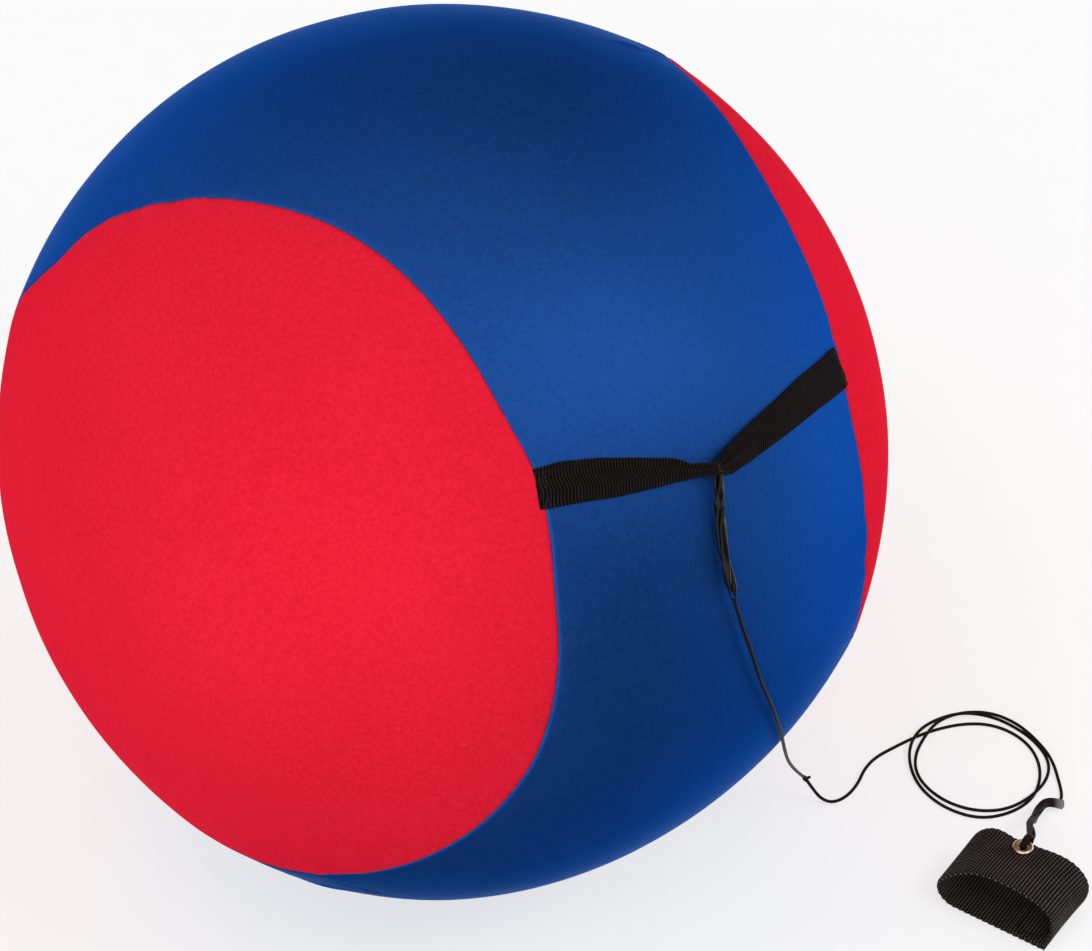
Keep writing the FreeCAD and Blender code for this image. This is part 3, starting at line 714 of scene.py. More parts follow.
# ------------------------------------------------------------------ ball strap
# The strap's edges in degrees along it and across it, from the middle of the blue neck
STRAP_TOP = (
    (-24.2, 4.5), (-21, 4.4), (-16.4, 3.3), (-11.7, 1.7), (-8, 0.35), (-6.5, -0.5), (-5.9, -1.15),
    (-5.4, -1.3), (-4.2, -1.6), (-2.9, -2.05), (-2.2, -1.95), (-0.9, -1.35), (0.6, -0.8),
    (2.4, -0.2), (5, 0.5), (8, 1.25), (14.8, 2.7), (24.3, 3.8),
)
STRAP_LOW = (
    (-24.2, -0.1), (-20, -0.8), (-15.4, -1.7), (-10.3, -2.3), (-6.2, -2.6), (-4.1, -2.95),
    (-2.7, -3.35), (-1.6, -3.75), (-0.4, -4.0), (2.7, -3.75), (8.2, -3.0), (15.8, -1.95),
    (21, -1.5), (24.3, -1.2),
)
STRAP_LEFT, STRAP_RIGHT = -24.2, 24.3
PINCH = -2.6  # degrees along the strap
STRAP_WIDE = 23.0 * MM
STRAP_RIB = 1.6 * MM
RIB_ROWS = 5  # rows of points in each rib


def strap_surface():
    """Grid of the ball strap's middle surface, rows along it and columns across, with lay and ribs."""
    rows = int(math.radians(STRAP_RIGHT - STRAP_LEFT) * BALL_RADIUS / STRAP_RIB) * RIB_ROWS + 1
    along = np.linspace(STRAP_LEFT, STRAP_RIGHT, rows)
    top, low = (soften(np.interp(along, *zip(*edge)), 11) for edge in (STRAP_TOP, STRAP_LOW))
    v = np.linspace(-1, 1, 45)[None, :]
    gather = 1 - np.clip(np.radians(top - low) * BALL_RADIUS / STRAP_WIDE, 0, 1)
    top, low, gather, along = (values[:, None] for values in (top, low, gather, along))
    across = (top + low) / 2 + (top - low) / 2 * v
    # lengthwise folds, which are deepest at the pinch
    pinch = np.exp(-(((along - PINCH) / 5.5) ** 2))
    deep = (0.1 + 2.4 * gather ** 1.6) * MM * (0.35 + 0.65 * pinch)
    fold = np.cos(math.pi * 2.6 * v + 0.12 * (along - PINCH))
    lift = 0.45 * MM + pinch * 3.0 * MM + deep * (fold + 1) * 0.9 + (1 - v ** 2) * 0.5 * MM
    # the small fold in the upper edge beside the pinch
    lift = lift - 0.6 * MM * np.exp(-(((along + 5.6) / 1.1) ** 2)) * smooth(v, 0.2, 1.0)
    # both ends lie flat and are cut at a slant
    lift = lift - 0.9 * MM * (1 - smooth(np.minimum(along - STRAP_LEFT, STRAP_RIGHT - along), 0, 1.2))
    slant = -0.3 * (1 - v) * (1 - smooth(along, STRAP_LEFT, -19))
    slant = slant + (0.05 - 0.45 * v) * smooth(along, 17, STRAP_RIGHT)
    grid = on_cover(along + slant, across, lift)
    turn = (np.arange(rows) / RIB_ROWS)[:, None] + 0.35 * np.sin(v * 5.2 + 0.02 * along)
    lay = np.stack(np.broadcast_arrays(turn * STRAP_RIB, v * 12 * MM), -1)
    return grid, lay, 0.42 * MM * np.abs(np.sin(math.pi * turn))


strap_grid, strap_lay, strap_rib = strap_surface()
if (grid_normals(strap_grid) * (strap_grid - BALL_CENTRE)).sum() < 0:
    strap_grid, strap_lay, strap_rib = strap_grid[:, ::-1], strap_lay[:, ::-1], strap_rib[:, ::-1]
piece("ball_strap_elastic", slab(strap_grid, 0.9 * MM, strap_lay, strap_rib, strap_rib * 0.3), ELASTIC,
      "root", ["ball_strap"])

tack_parts = []
for place in (0.012, 0.022, 0.978, 0.988):
    row = strap_grid[int(place * (len(strap_grid) - 1))]
    for k in range(2, len(row) - 4, 5):
        middle = (row[k] + row[k + 3]) / 2
        up = unit(middle - BALL_CENTRE)
        tack_parts.append(stitch(middle + up * 0.85 * MM, unit(row[k + 3] - row[k]), up, 2.2 * MM, 0.3 * MM))
piece("strap_tack_stitches", joined(tack_parts), THREAD, "root", ["strap_tacks"])

# ------------------------------------------------------------------ rubber links
LINK_STEP = 0.7 * MM


def strand(line, at, offset, turns, wide, thick, phase, taper, start):
    """One side of a folded, twisted rubber strip. start is its own angle to the twist."""
    angles = np.arange(16) / 16 * TURN
    cx = np.sign(np.cos(angles)) * np.abs(np.cos(angles)) ** 0.6 * wide / 2
    cy = np.sign(np.sin(angles)) * np.abs(np.sin(angles)) ** 0.8 * thick / 2

    def section(i):
        s = at[i] / at[-1]
        spin = TURN * (turns(s) + phase)
        cos, sin = math.cos(spin + start), math.sin(spin + start)
        x = offset * math.cos(spin) + (cx * cos - cy * sin) * taper(s)
        y = offset * math.sin(spin) + (cx * sin + cy * cos) * taper(s)
        return x, y

    return sweep(line, at, section)


# The ball link's control points: degrees along the strap and across it, and mm over the ball
LINK_ROUTE = (
    (-2.35, -3.0, 2.4), (-2.55, -3.9, 3.2), (-2.9, -5.2, 3.6), (-3.4, -7.8, 3.3),
    (-3.8, -11.0, 3.2), (-3.7, -15.0, 3.5), (-3.25, -18.6, 4.2),
)
link_control = [to_set(direction(a, b) * (BALL_RADIUS + lift * MM)) for a, b, lift in LINK_ROUTE]
link_line, link_at = even(nurbs_line(link_control), LINK_STEP)


def link_turns(s):
    return 0.04 + 0.62 * smooth(s, 0.0, 0.46) + 0.30 * smooth(s, 0.46, 1.0)


LINK_OFFSET = 1.35 * MM  # distance of each strand from the link's line
link_parts = [
    strand(link_line, link_at, LINK_OFFSET, link_turns, 4.5 * MM, 2.7 * MM, 0.0,
           lambda s: 1 - 0.62 * smooth(s, 0.9, 1.0), 1.4),
    strand(link_line, link_at, LINK_OFFSET, link_turns, 4.2 * MM, 2.5 * MM, 0.5,
           lambda s: 1 - 0.7 * smooth(s, 0.84, 0.97), 1.65),
]
# the strip's bight, drawn tight round the pinched strap
pinch_row = int(np.argmin(np.abs(np.linspace(STRAP_LEFT, STRAP_RIGHT, len(strap_grid)) - PINCH)))
pinch_points = strap_grid[pinch_row]
pinch_middle = pinch_points.mean(axis=0)
pinch_out = unit(pinch_middle - BALL_CENTRE)
pinch_along = unit(strap_grid[pinch_row + 4].mean(axis=0) - strap_grid[pinch_row - 4].mean(axis=0))
pinch_side = np.cross(pinch_out, pinch_along)
half_wide = np.abs((pinch_points - pinch_middle) @ pinch_side).max() + 0.15 * MM
half_thick = np.abs((pinch_points - pinch_middle) @ pinch_out).max() + 0.1 * MM


def band(shift, lean, wide, thick):
    """One turn of the strip round the pinch."""
    angles = np.linspace(0, TURN, 49)[:-1]
    cos, sin = np.cos(angles)[:, None], np.sin(angles)[:, None]
    line = pinch_middle + pinch_side * half_wide * np.copysign(np.abs(cos) ** 0.8, cos)
    line = line + pinch_out * half_thick * np.copysign(np.abs(sin) ** 0.8, sin)
    line = line + pinch_along * (shift + lean * cos)
    from_middle = line - pinch_middle
    outward = unit(from_middle - np.outer(from_middle @ pinch_along, pinch_along))
    across = np.broadcast_to(pinch_along, line.shape)
    return hoop(line, angles * half_wide, across, outward, wide / 2, thick / 2, 10)


link_parts += [band(0.45 * MM, 0.4 * MM, 1.0 * MM, 0.6 * MM), band(-0.45 * MM, -0.3 * MM, 0.9 * MM, 0.6 * MM)]
piece("ball_link_rubber", joined(link_parts), RUBBER, "root", ["ball_link"])

# ------------------------------------------------------------------ cord
CORD_RADIUS = 1.0 * MM
CORD_STEP = 0.8 * MM
# Control points of the cord's two lengths, in metres
LEAD = [
    tuple(to_set(direction(-3.2, -18.8) * (BALL_RADIUS + 4.2 * MM))),
    (0.1502, -0.1990, 0.2940),
    (0.1568, -0.1983, 0.2720),
    (0.1624, -0.1956, 0.2490),
    (0.1714, -0.1846, 0.2180),
    (0.1788, -0.1660, 0.1820),
    (0.1846, -0.1405, 0.1435),
    (0.1906, -0.1120, 0.1060),
    (0.1976, -0.0825, 0.0705),
    (0.2048, -0.0585, 0.0410),
    (0.2104, -0.0432, 0.0220),
]
TETHER = [
    (0.2122, -0.0426, 0.0186),
    (0.2168, -0.0434, 0.0106),
    (0.2216, -0.0450, 0.0046),
    (0.2284, -0.0454, 0.0016),
    (0.2372, -0.0406, 0.0013),
    (0.2452, -0.0300, 0.0013),
    (0.2504, -0.0176, 0.0013),
    (0.2580, -0.0080, 0.0013),
    (0.2694, -0.0002, 0.0012),
]
COIL_CENTRE = (0.3205, -0.0140)
COIL_SCALE = 1.02
COIL_START, COIL_STEP = 144, 24  # degrees
# The two and a half turns: distance from the coil's middle in mm, one point every COIL_STEP degrees
COIL = (
    40.8, 34.8, 33.1, 33.6, 34.0, 34.9, 36.2, 38.5, 42.4, 45.0, 47.1, 44.9, 42.9, 41.7, 42.1,
    42.3, 42.8, 43.2, 41.0, 39.0, 39.9, 42.5, 42.8, 42.1, 41.5, 41.0, 40.0, 39.3, 39.3, 37.9,
    36.5, 39.6, 41.3, 41.8, 40.4, 39.9, 44.2, 50.2,
)
COIL_FLOOR = 1.1  # mm
# Heights in mm where a turn passes over another, by point
COIL_OVER = {
    14: 3.5, 15: 3.5, 22: 3.6, 23: 3.6, 30: 3.5, 31: 3.5, 32: 3.2, 33: 3.3, 34: 3.3, 35: 3.3,
    36: 2.4, 37: 1.2,
}
for k, radius in enumerate(COIL):
    angle = math.radians(COIL_START - COIL_STEP * k)
    reach = radius * COIL_SCALE * MM
    x, y = COIL_CENTRE[0] + reach * math.cos(angle), COIL_CENTRE[1] + reach * math.sin(angle)
    TETHER.append((x, y, COIL_OVER.get(k, COIL_FLOOR) * MM))
TETHER += [(0.3672, -0.0440, 0.0012), (0.3652, -0.0500, 0.0018), (0.3628, -0.0530, 0.0030)]


def cord_piece(name, control, nodes):
    line, at = even(nurbs_line(control), CORD_STEP)
    part = sweep(line, at, lambda i: circle(CORD_RADIUS, 12))
    cord = piece(name, part, CORD, "root", nodes)


# a trefoil between the two cords, with a short cut tail
knot_start, knot_end = np.array(LEAD[-1]), np.array(TETHER[0])
knot_way = unit(knot_end - knot_start)
knot_middle = (knot_start + knot_end) / 2
knot_side = unit(np.cross(knot_way, (0, 0, 1)))
knot_up = np.cross(knot_side, knot_way)
knot_line = np.array([
    knot_middle
    + knot_side * 0.34 * MM * (math.sin(t) + 2 * math.sin(2 * t))
    + knot_up * 0.30 * MM * (math.cos(t) - 2 * math.cos(2 * t))
    - knot_way * 1.3 * MM * math.sin(3 * t)
    for t in np.linspace(0, TURN, 97)[:-1]
])
knot_ahead = unit(np.roll(knot_line, -1, axis=0) - np.roll(knot_line, 1, axis=0))
knot_across = unit(np.cross(knot_ahead, knot_line - knot_line.mean(axis=0)))
knot_at = np.arange(len(knot_line)) * 0.25 * MM
tail_way = unit((0.93, 0.15, 0.33))
tail_run = np.linspace(0, 3.4, 12)[:, None]
tail_line = knot_middle + tail_way * tail_run * MM + np.array((0, 0, -0.024)) * tail_run ** 2 * MM
tail_radius = np.append(np.full(11, 0.9), 0.55) * MM
knot_parts = [
    hoop(knot_line, knot_at, np.cross(knot_across, knot_ahead), knot_across, 0.75 * MM, 0.75 * MM, 10),
    sweep(tail_line, tail_run[:, 0] * MM, lambda i: circle(tail_radius[i], 10)),
]
knot = piece("cord_splice_knot", joined(knot_parts), CORD, "root", ["splice_knot"])
cord_piece("lead_cord_braid", LEAD, ["lead_cord"])
cord_piece("tether_cord_braid", TETHER, ["tether_cord", "tether_coil", "tether_tail"])

# ------------------------------------------------------------------ hand strap
# The hand strap's axes: U along the loop in side view, V across the webbing, H up
HAND_CORNER = np.array((0.2866, -0.1291, 0.0))
HAND_ANGLE = math.radians(-36.5)
HAND_U = np.array((math.cos(HAND_ANGLE), math.sin(HAND_ANGLE), 0))
HAND_V = np.array((-math.sin(HAND_ANGLE), math.cos(HAND_ANGLE), 0))
HAND_H = np.array((0.0, 0.0, 1.0))
WEB_WIDE = 40 * MM
WEB_RIB = 2.0 * MM
EYELET = (29.7 * MM, 32.0 * MM)  # its place along U and V
WEB_TOP = 38.6 * MM  # the webbing's outer face at the eyelet
WEB_HALF = 1.0 * MM  # half of the webbing's thickness


def hand(u, v, h):
    """The hand strap's axes to the set's axes."""
    u, v, h = (np.asarray(x, float)[..., None] for x in (u, v, h))
    return HAND_CORNER + u * HAND_U + v * HAND_V + h * HAND_H


# Side views of the loop's outer face at its front and back edges, in mm along U and H
LOOP_FRONT = np.array((
    (9.0, 0), (0.4, 0.8), (-6.4, 6.4), (-7.6, 14.5), (-3.6, 21.8), (6.0, 30.8), (16.6, 36.5), (28.0, 38.8),
    (40.0, 39.0), (51.8, 36.8), (61.5, 33.2), (67.0, 27.0), (67.9, 18.0), (67.0, 9.0), (64.4, 2.2),
)) * MM
LOOP_BACK = np.array((
    (9.0, 0), (0.4, 0.8), (-5.8, 6.4), (-6.6, 14.5), (-5.0, 22.0), (-1.2, 28.8), (4.2, 33.8), (9.6, 36.0),
    (15.5, 35.8), (21.5, 34.4), (27.5, 33.9), (34.0, 35.3), (42.5, 37.2), (52.0, 37.9), (60.0, 36.3),
    (66.5, 31.8), (70.4, 25.4), (71.0, 18.5), (69.2, 11.0), (65.4, 3.0),
)) * MM


def loop_path(corners):
    """Middle line of the webbing in side view, from its end under the lap round to the lap's end."""
    under_lap = np.array(((64.6, 1.0), (9.0, 1.0))) * MM
    outline = catmull(corners, 24)
    ahead = unit(np.gradient(outline, axis=0))
    curve = outline + np.stack([ahead[:, 1], -ahead[:, 0]], -1) * WEB_HALF
    curve = curve[(curve[:, 1] > 4.6 * MM) | (curve[:, 0] < 40 * MM)]
    over_lap = np.array(((63.1, 3.7), (62.4, 3.15), (61.4, 3.0), (40.6, 3.0))) * MM
    line = np.concatenate([under_lap, curve[1:], over_lap])
    return line, run_along(line)


ribs = int(loop_path(LOOP_FRONT)[1][-1] / WEB_RIB)
loop_rows = ribs * RIB_ROWS + 1
loop_edges = []
for corners in (LOOP_FRONT, LOOP_BACK):
    line, run = loop_path(corners)
    at = np.linspace(0, 1, loop_rows) * run[-1]
    loop_edges.append([soften(np.interp(at, run, line[:, k]), 6)[:, None] for k in (0, 1)])
web_v = np.concatenate([[0, 0.35, 0.8], np.linspace(1.4, 38.6, 57), [39.2, 39.65, 40]])[None, :] * MM
back_share = (web_v / WEB_WIDE) ** 2.2
loop_u, loop_h = (front + (back - front) * back_share for front, back in zip(*loop_edges))
# the eyelet holds the webbing flat round it
crown = np.hypot(loop_u - EYELET[0], web_v - EYELET[1])
crown = np.where(loop_h > 20 * MM, np.exp(-((np.maximum(crown - 3 * MM, 0) / (5.0 * MM)) ** 2)), 0)
loop_h = loop_h + crown * (WEB_TOP - WEB_HALF - loop_h)
rib_number, rib_row = np.divmod(np.arange(loop_rows)[:, None], RIB_ROWS)
rib_high = np.sqrt(np.maximum(1 - (2 * rib_row / RIB_ROWS - 1) ** 2, 0))
edge_gap = np.minimum(web_v, WEB_WIDE - web_v)
edge_round = np.sqrt(np.clip(edge_gap / (0.9 * MM), 0, 1))
# the ribs scallop both edges
scallop = 0.5 - 0.5 * np.cos(math.pi * np.arange(loop_rows) / RIB_ROWS)[:, None]
scallop = scallop * 0.5 * MM * (1 - smooth(edge_gap, 0, 4.0 * MM))
web_grid = hand(loop_u, web_v + scallop * np.where(web_v < WEB_WIDE / 2, 1, -1), loop_h)
# each rib is a row of yarn beads, set in turn with those of the next rib
bead = np.cos(TURN * (web_v / (1.99 * MM) + 0.5 * rib_number)) * smooth(edge_gap, 1 * MM, 3 * MM)
rib_grid = (0.5 + 0.13 * bead) * MM * rib_high
web_face = (0.45 * MM + rib_grid * (1 - 0.75 * crown)) * edge_round
web_s = np.arange(loop_rows)[:, None] / RIB_ROWS * WEB_RIB
web_lay = np.stack(np.broadcast_arrays(web_s, web_v), -1)
web_verts, web_faces, web_lay = slab(web_grid, 0.2 * MM, web_lay, web_face, web_face)
web_verts[:, 2] = np.maximum(web_verts[:, 2], 0.03 * MM)
webbing = make("hand_strap_webbing", web_verts, web_faces, web_lay, WEBBING)


def bore_hole(obj, centre, radius, low, high):
    """Round hole for the eyelet's barrel."""
    bm = bmesh.new()
    bmesh.ops.create_cone(bm, segments=40, radius1=radius, radius2=radius, depth=high - low, cap_ends=True,
                          matrix=Matrix.Translation((centre[0], centre[1], (low + high) / 2)))
    mesh = bpy.data.meshes.new("cutter")
    bm.to_mesh(mesh)
    bm.free()
    cutter = linked(bpy.data.objects.new("cutter", mesh))
    boolean = obj.modifiers.new("hole", "BOOLEAN")
    boolean.operation = "DIFFERENCE"
    boolean.object = cutter
    cut = evaluated_mesh(obj)
    obj.modifiers.clear()
    # the cut drops the cloth's own coordinates, so each point takes those of the nearest old point
    tree = KDTree(len(obj.data.vertices))
    for v in obj.data.vertices:
        tree.insert(v.co, v.index)
    tree.balance()
    nearest = [tree.find(v.co)[1] for v in cut.vertices]
    old = np.zeros(3 * len(obj.data.vertices), np.float32)
    obj.data.attributes["lay"].data.foreach_get("vector", old)
    if "lay" not in cut.attributes:
        cut.attributes.new("lay", "FLOAT_VECTOR", "POINT")
    cut.attributes["lay"].data.foreach_set("vector", old.reshape(-1, 3)[nearest].ravel())
    obj.data = cut
    bpy.data.objects.remove(cutter)


EYELET_HOLE = 4.0 * MM  # radius
bore_hole(webbing, hand(*EYELET, 0), EYELET_HOLE, WEB_TOP - 8 * MM, WEB_TOP + 4 * MM)
declare(webbing, "hand_loop", ["hand_strap"])


def lathe(profile, ring=56):
    """Turned piece about the eyelet's axis, from (radius, height) in mm."""
    cos, sin = circle(MM, ring)
    rows = [hand(EYELET[0] + r * cos, EYELET[1] + r * sin, height * MM) for r, height in profile]
    return np.concatenate(rows), ring_faces(len(profile), ring), None


top = WEB_TOP / MM
quarter = math.pi / 2
flange = [(4.5 - 1.5 * math.cos(a), top + 0.55 + 0.75 * math.sin(a)) for a in np.linspace(0, quarter, 9)]
flange += [(4.5 + 1.5 * math.sin(a), top + 0.35 + 0.95 * math.cos(a)) for a in np.linspace(0.15, quarter, 10)]
flange += [(5.9, top + 0.18), (3.75, top + 0.15), (3.7, top - 2.6), (3.7, top - 3.15)]
curl = np.linspace(0, 1.8 * quarter, 7)
flange += [(3.9 + 0.95 * math.cos(a), top - 3.35 - 0.3 * math.sin(a)) for a in curl]
flange += [(3.0, top - 3.45), (3.0, top - 2.0)]
piece("eyelet_ring", lathe(flange), BRASS, "hand_loop", ["eyelet"])
under = top - 2.0
washer = [(3.9, under - 0.55), (3.9, under - 0.95)]
washer += [(4.3 + 1.35 * k / 6, under - 1.0 - 0.12 * math.sin(math.pi * k / 6)) for k in range(7)]
washer += [(5.7, under - 0.7), (5.65, under - 0.5)]
piece("eyelet_washer_ring", lathe(washer), BRASS, "hand_loop", ["eyelet_washer"])

# a box of stitches through the lap
STITCH_LONG, STITCH_RADIUS, STITCH_PITCH = 2.4 * MM, 0.35 * MM, 2.9 * MM
lap_parts = []
lap_high = 4.55 * MM
left, right, front, back = 43.6 * MM, 59.6 * MM, 3.5 * MM, 36.5 * MM
for u in (left + 0.45 * MM, right - 0.45 * MM):
    for v in np.arange(front + 1.4 * MM, back - 1.0 * MM, STITCH_PITCH):
        lap_parts.append(stitch(hand(u, v, lap_high), HAND_V, HAND_H, STITCH_LONG, STITCH_RADIUS))
for v in (front + 0.45 * MM, back - 0.45 * MM):
    for u in np.arange(left + 2.4 * MM, right - 1.6 * MM, STITCH_PITCH):
        lap_parts.append(stitch(hand(u, v, lap_high), HAND_U, HAND_H, STITCH_LONG, STITCH_RADIUS))
piece("strap_lap_stitches", joined(lap_parts), THREAD, "hand_loop", ["strap_stitching"])

# ------------------------------------------------------------------ strap link, through the eyelet
RING_RADIUS = 4.9 * MM
ring_middle = hand(EYELET[0], EYELET[1] + RING_RADIUS, WEB_TOP - WEB_HALF)
ring_cos, ring_sin = (values[:, None] for values in circle(RING_RADIUS, 48))
ring_line = ring_middle + HAND_V * ring_cos + HAND_H * ring_sin
ring_ahead = unit(np.roll(ring_line, -1, axis=0) - np.roll(ring_line, 1, axis=0))
ring_out = unit(ring_line - ring_line.mean(axis=0))

HAND_LINK = [
    (0.3660, -0.0540, 0.0030), (0.3604, -0.0536, 0.0050), (0.3552, -0.0552, 0.0066),
    (0.3512, -0.0606, 0.0086), (0.3472, -0.0696, 0.0120), (0.3426, -0.0798, 0.0172),
    (0.3390, -0.0900, 0.0256),
    tuple(hand(29.8 * MM, 43.0 * MM, 35.0 * MM)), tuple(hand(29.7 * MM, 41.2 * MM, 38.4 * MM)),
]
hand_line, hand_at = even(nurbs_line(HAND_LINK), LINK_STEP)


def hand_turns(s):
    return 0.25 + 0.75 * smooth(s, 0.05, 0.95)


def hand_size(s):
    return 1.1 - 0.15 * smooth(s, 0.0, 0.25) - 0.35 * smooth(s, 0.88, 1.0)


hand_parts = [
    strand(hand_line, hand_at, 1.1 * MM, hand_turns, 4.8 * MM, 2.2 * MM, 0.0, hand_size, 1.4),
    strand(hand_line, hand_at, 1.1 * MM, hand_turns, 4.5 * MM, 2.1 * MM, 0.5, hand_size, 1.75),
    hoop(ring_line, np.ones(48), np.cross(ring_out, ring_ahead), ring_out, 2.1 * MM, 0.9 * MM, 12),
]
piece("strap_link_rubber", joined(hand_parts), STRIP, "root", ["strap_link"])

# ------------------------------------------------------------------ zip, across the ball from the strap
TAPE_RADIUS = 248.0 * MM
TEETH_RADIUS = 249.2 * MM
TOPSTITCH_RADIUS = 250.15 * MM
TOOTH_PITCH = 1.5 * MM / BALL_RADIUS
TOOTH_POINTS = 14  # points in one turn of a coil


def zip_at(angle, y, radius):
    """Point by the zip: angle along it in radians, y across it and distance from the ball's centre."""
    angle, y, radius = np.broadcast_arrays(np.asarray(angle, float), y, radius)
    local = np.stack([np.sin(angle) * radius, y, -np.cos(angle) * radius], -1)
    return to_set(local)


tape_parts = []
tape_end = ZIP_HALF_ANGLE + math.radians(3)
tape_angles = np.linspace(-tape_end, tape_end, 150)[:, None]
for side in (1, -1):
    tape_y = np.linspace(1.1, 12, 12)[None, :] * MM * side
    grid = zip_at(tape_angles, tape_y, TAPE_RADIUS)
    lay = np.stack(np.broadcast_arrays(tape_angles * BALL_RADIUS, tape_y), -1)
    if (grid_normals(grid) * (grid - BALL_CENTRE)).sum() < 0:
        grid, lay = grid[:, ::-1], lay[:, ::-1]
    tape_parts.append(slab(grid, 0.6 * MM, lay))
piece("zip_tape_pair", joined(tape_parts), TAPE, "root", ["zip_tape"])

teeth_parts = []
steps = np.arange(int(2 * ZIP_HALF_ANGLE / TOOTH_PITCH) * TOOTH_POINTS + 1) / TOOTH_POINTS
for side in (1, -1):
    angle = -ZIP_HALF_ANGLE + steps * TOOTH_PITCH + (0 if side > 0 else TOOTH_PITCH / 2)
    y = side * (1.55 + 1.5 * np.cos(steps * TURN)) * MM
    radius = TEETH_RADIUS + 0.62 * MM * np.sin(steps * TURN)
    line = zip_at(np.minimum(angle, ZIP_HALF_ANGLE), y, radius)
    teeth_parts.append(sweep(line, steps * 8 * MM, lambda i: circle(0.3 * MM, 6)))
piece("zip_teeth_coils", joined(teeth_parts), TEETH, "root", ["zip_teeth"])

topstitch_parts = []


def topstitch(angle, y, angle_on, y_on):
    """One stitch of the zip's seam, towards a second point."""
    middle = zip_at(angle, y, TOPSTITCH_RADIUS)
    way = unit(zip_at(angle_on, y_on, TOPSTITCH_RADIUS) - middle)
    topstitch_parts.append(stitch(middle, way, unit(middle - BALL_CENTRE), STITCH_LONG, 0.28 * MM))


for side in (1, -1):
    for angle in np.arange(-ZIP_HALF_ANGLE - 0.012, ZIP_HALF_ANGLE + 0.013, 3.0 * MM / BALL_RADIUS):
        topstitch(angle, side * 8.2 * MM, angle + 0.01, side * 8.2 * MM)
    for y in np.arange(-6.6, 6.7, 3.0) * MM:
        end = side * (ZIP_SLOT_END + 0.013)
        topstitch(end, y, end, y + 1 * MM)
piece("zip_topstitching", joined(topstitch_parts), RED_THREAD, "root")

SLIDER_ANGLE = ZIP_HALF_ANGLE - math.radians(1.6)
SLIDER_TURN = np.array(Matrix.Rotation(math.pi - SLIDER_ANGLE, 3, "Y"))


def slider_frame(points):
    """Slider axes in mm, X along the zip towards its middle, Z out of the ball, to the set's axes."""
    points = np.asarray(points, float) * MM
    return to_set(points @ SLIDER_TURN.T + SLIDER_TURN @ np.array((0, 0, BALL_RADIUS)))


def plate(outline, low, high, bevel, segments=3):
    """Flat stamping with rounded edges, in slider axes."""
    bm = bmesh.new()
    face = bm.faces.new([bm.verts.new((x, y, low)) for x, y in outline])
    if face.normal.z > 0:
        face.normal_flip()
    made = bmesh.ops.extrude_face_region(bm, geom=[face])
    for item in made["geom"]:
        if isinstance(item, bmesh.types.BMVert):
            item.co.z = high
    bmesh.ops.recalc_face_normals(bm, faces=bm.faces)
    sharp = [e for e in bm.edges if len(e.link_faces) == 2 and e.calc_face_angle() > 1.0]
    bmesh.ops.bevel(bm, geom=sharp, offset=bevel, segments=segments, profile=0.6, affect="EDGES",
                    clamp_overlap=True)
    bm.verts.index_update()
    verts = slider_frame([v.co[:] for v in bm.verts])
    faces = [[v.index for v in f.verts] for f in bm.faces]
    bm.free()
    return verts, faces, np.zeros((len(verts), 2))


def rounded(points, radius, count=5):
    """Outline with its corners rounded."""
    out = []
    for i, corner in enumerate(points):
        corner = np.array(corner, float)
        back = np.array(points[i - 1], float) - corner
        ahead = np.array(points[(i + 1) % len(points)], float) - corner
        r = min(radius, 0.45 * np.linalg.norm(back), 0.45 * np.linalg.norm(ahead))
        a, b = corner + unit(back) * r, corner + unit(ahead) * r
        for k in range(count + 1):
            t = k / count
            out.append(tuple((1 - t) ** 2 * a + 2 * t * (1 - t) * corner + t * t * b))
    return out


def mirrored(half, tip=()):
    """Outline whose second half repeats the first across the x axis."""
    return [*half, *tip, *((x, -y) for x, y in reversed(half))]


SHIELD = mirrored([(-5, -2.7), (-2.4, -3.6), (2.2, -4.3), (5, -3.9), (5, -1.1)], [(3.6, 0)])
RAIL = (
    (-4.4, 3.2), (-2.4, 3.3), (2.2, 4.0), (4.8, 3.6), (4.8, 4.0), (2.2, 4.35), (-2.4, 3.7), (-4.4, 3.5),
)
BAIL = (
    (-2.9, 0, 0.9), (-2.9, 0, 2.6), (-2.5, 0, 3.9), (-1.4, 0, 4.45), (0, 0, 4.5), (1.4, 0, 4.45),
    (2.5, 0, 3.9), (2.9, 0, 2.6), (2.9, 0, 0.9),
)
BAIL_STEP = 0.35  # mm
bail_line = slider_frame(even(catmull(np.array(BAIL), 8), BAIL_STEP)[0])
bail_section = circle(0.8 * MM, 12)[0], circle(0.45 * MM, 12)[1]
slider_parts = [plate(rounded(SHIELD, 0.8), 0.45, 1.4, 0.3), plate(rounded(SHIELD, 0.8), -3.1, -2.5, 0.2)]
for side in (1, -1):
    slider_parts.append(plate(rounded([(x, side * y) for x, y in RAIL], 0.15), -1.0, 0.6, 0.08, 1))
slider_parts.append(plate(mirrored([(1.0, -0.28), (4.0, -0.28)]), -2.7, 0.6, 0.08, 1))
slider_parts.append(sweep(bail_line, np.arange(len(bail_line)) * BAIL_STEP * MM, lambda i: bail_section,
                          up=BALL_TURN @ np.array((0.0, 1.0, 0.0))))
piece("zip_slider_body", joined(slider_parts), ZIP_METAL, "slider", ["zip_slider"])

TAB = mirrored([
    (-28, -2.2), (-26.5, -3.0), (-9, -2.6), (-5.0, -2.4), (0.6, -2.4), (0.6, -1.25), (-4.2, -1.25),
])
pin_line = slider_frame(np.stack([np.zeros(7), np.linspace(-1.9, 1.9, 7), np.full(7, 3.0)], -1))
pull_parts = [
    plate(rounded(TAB, 1.0), 2.45, 3.55, 0.28),
    plate(rounded(mirrored([(-25, -1.5), (-11, -1.3)]), 1.0), 3.4, 3.75, 0.12),
    sweep(pin_line, np.linspace(0, 3.8 * MM, 7), lambda i: circle(0.55 * MM, 14)),
]
piece("zip_pull_tab", joined(pull_parts), ZIP_METAL, "pull", ["zip_pull"])

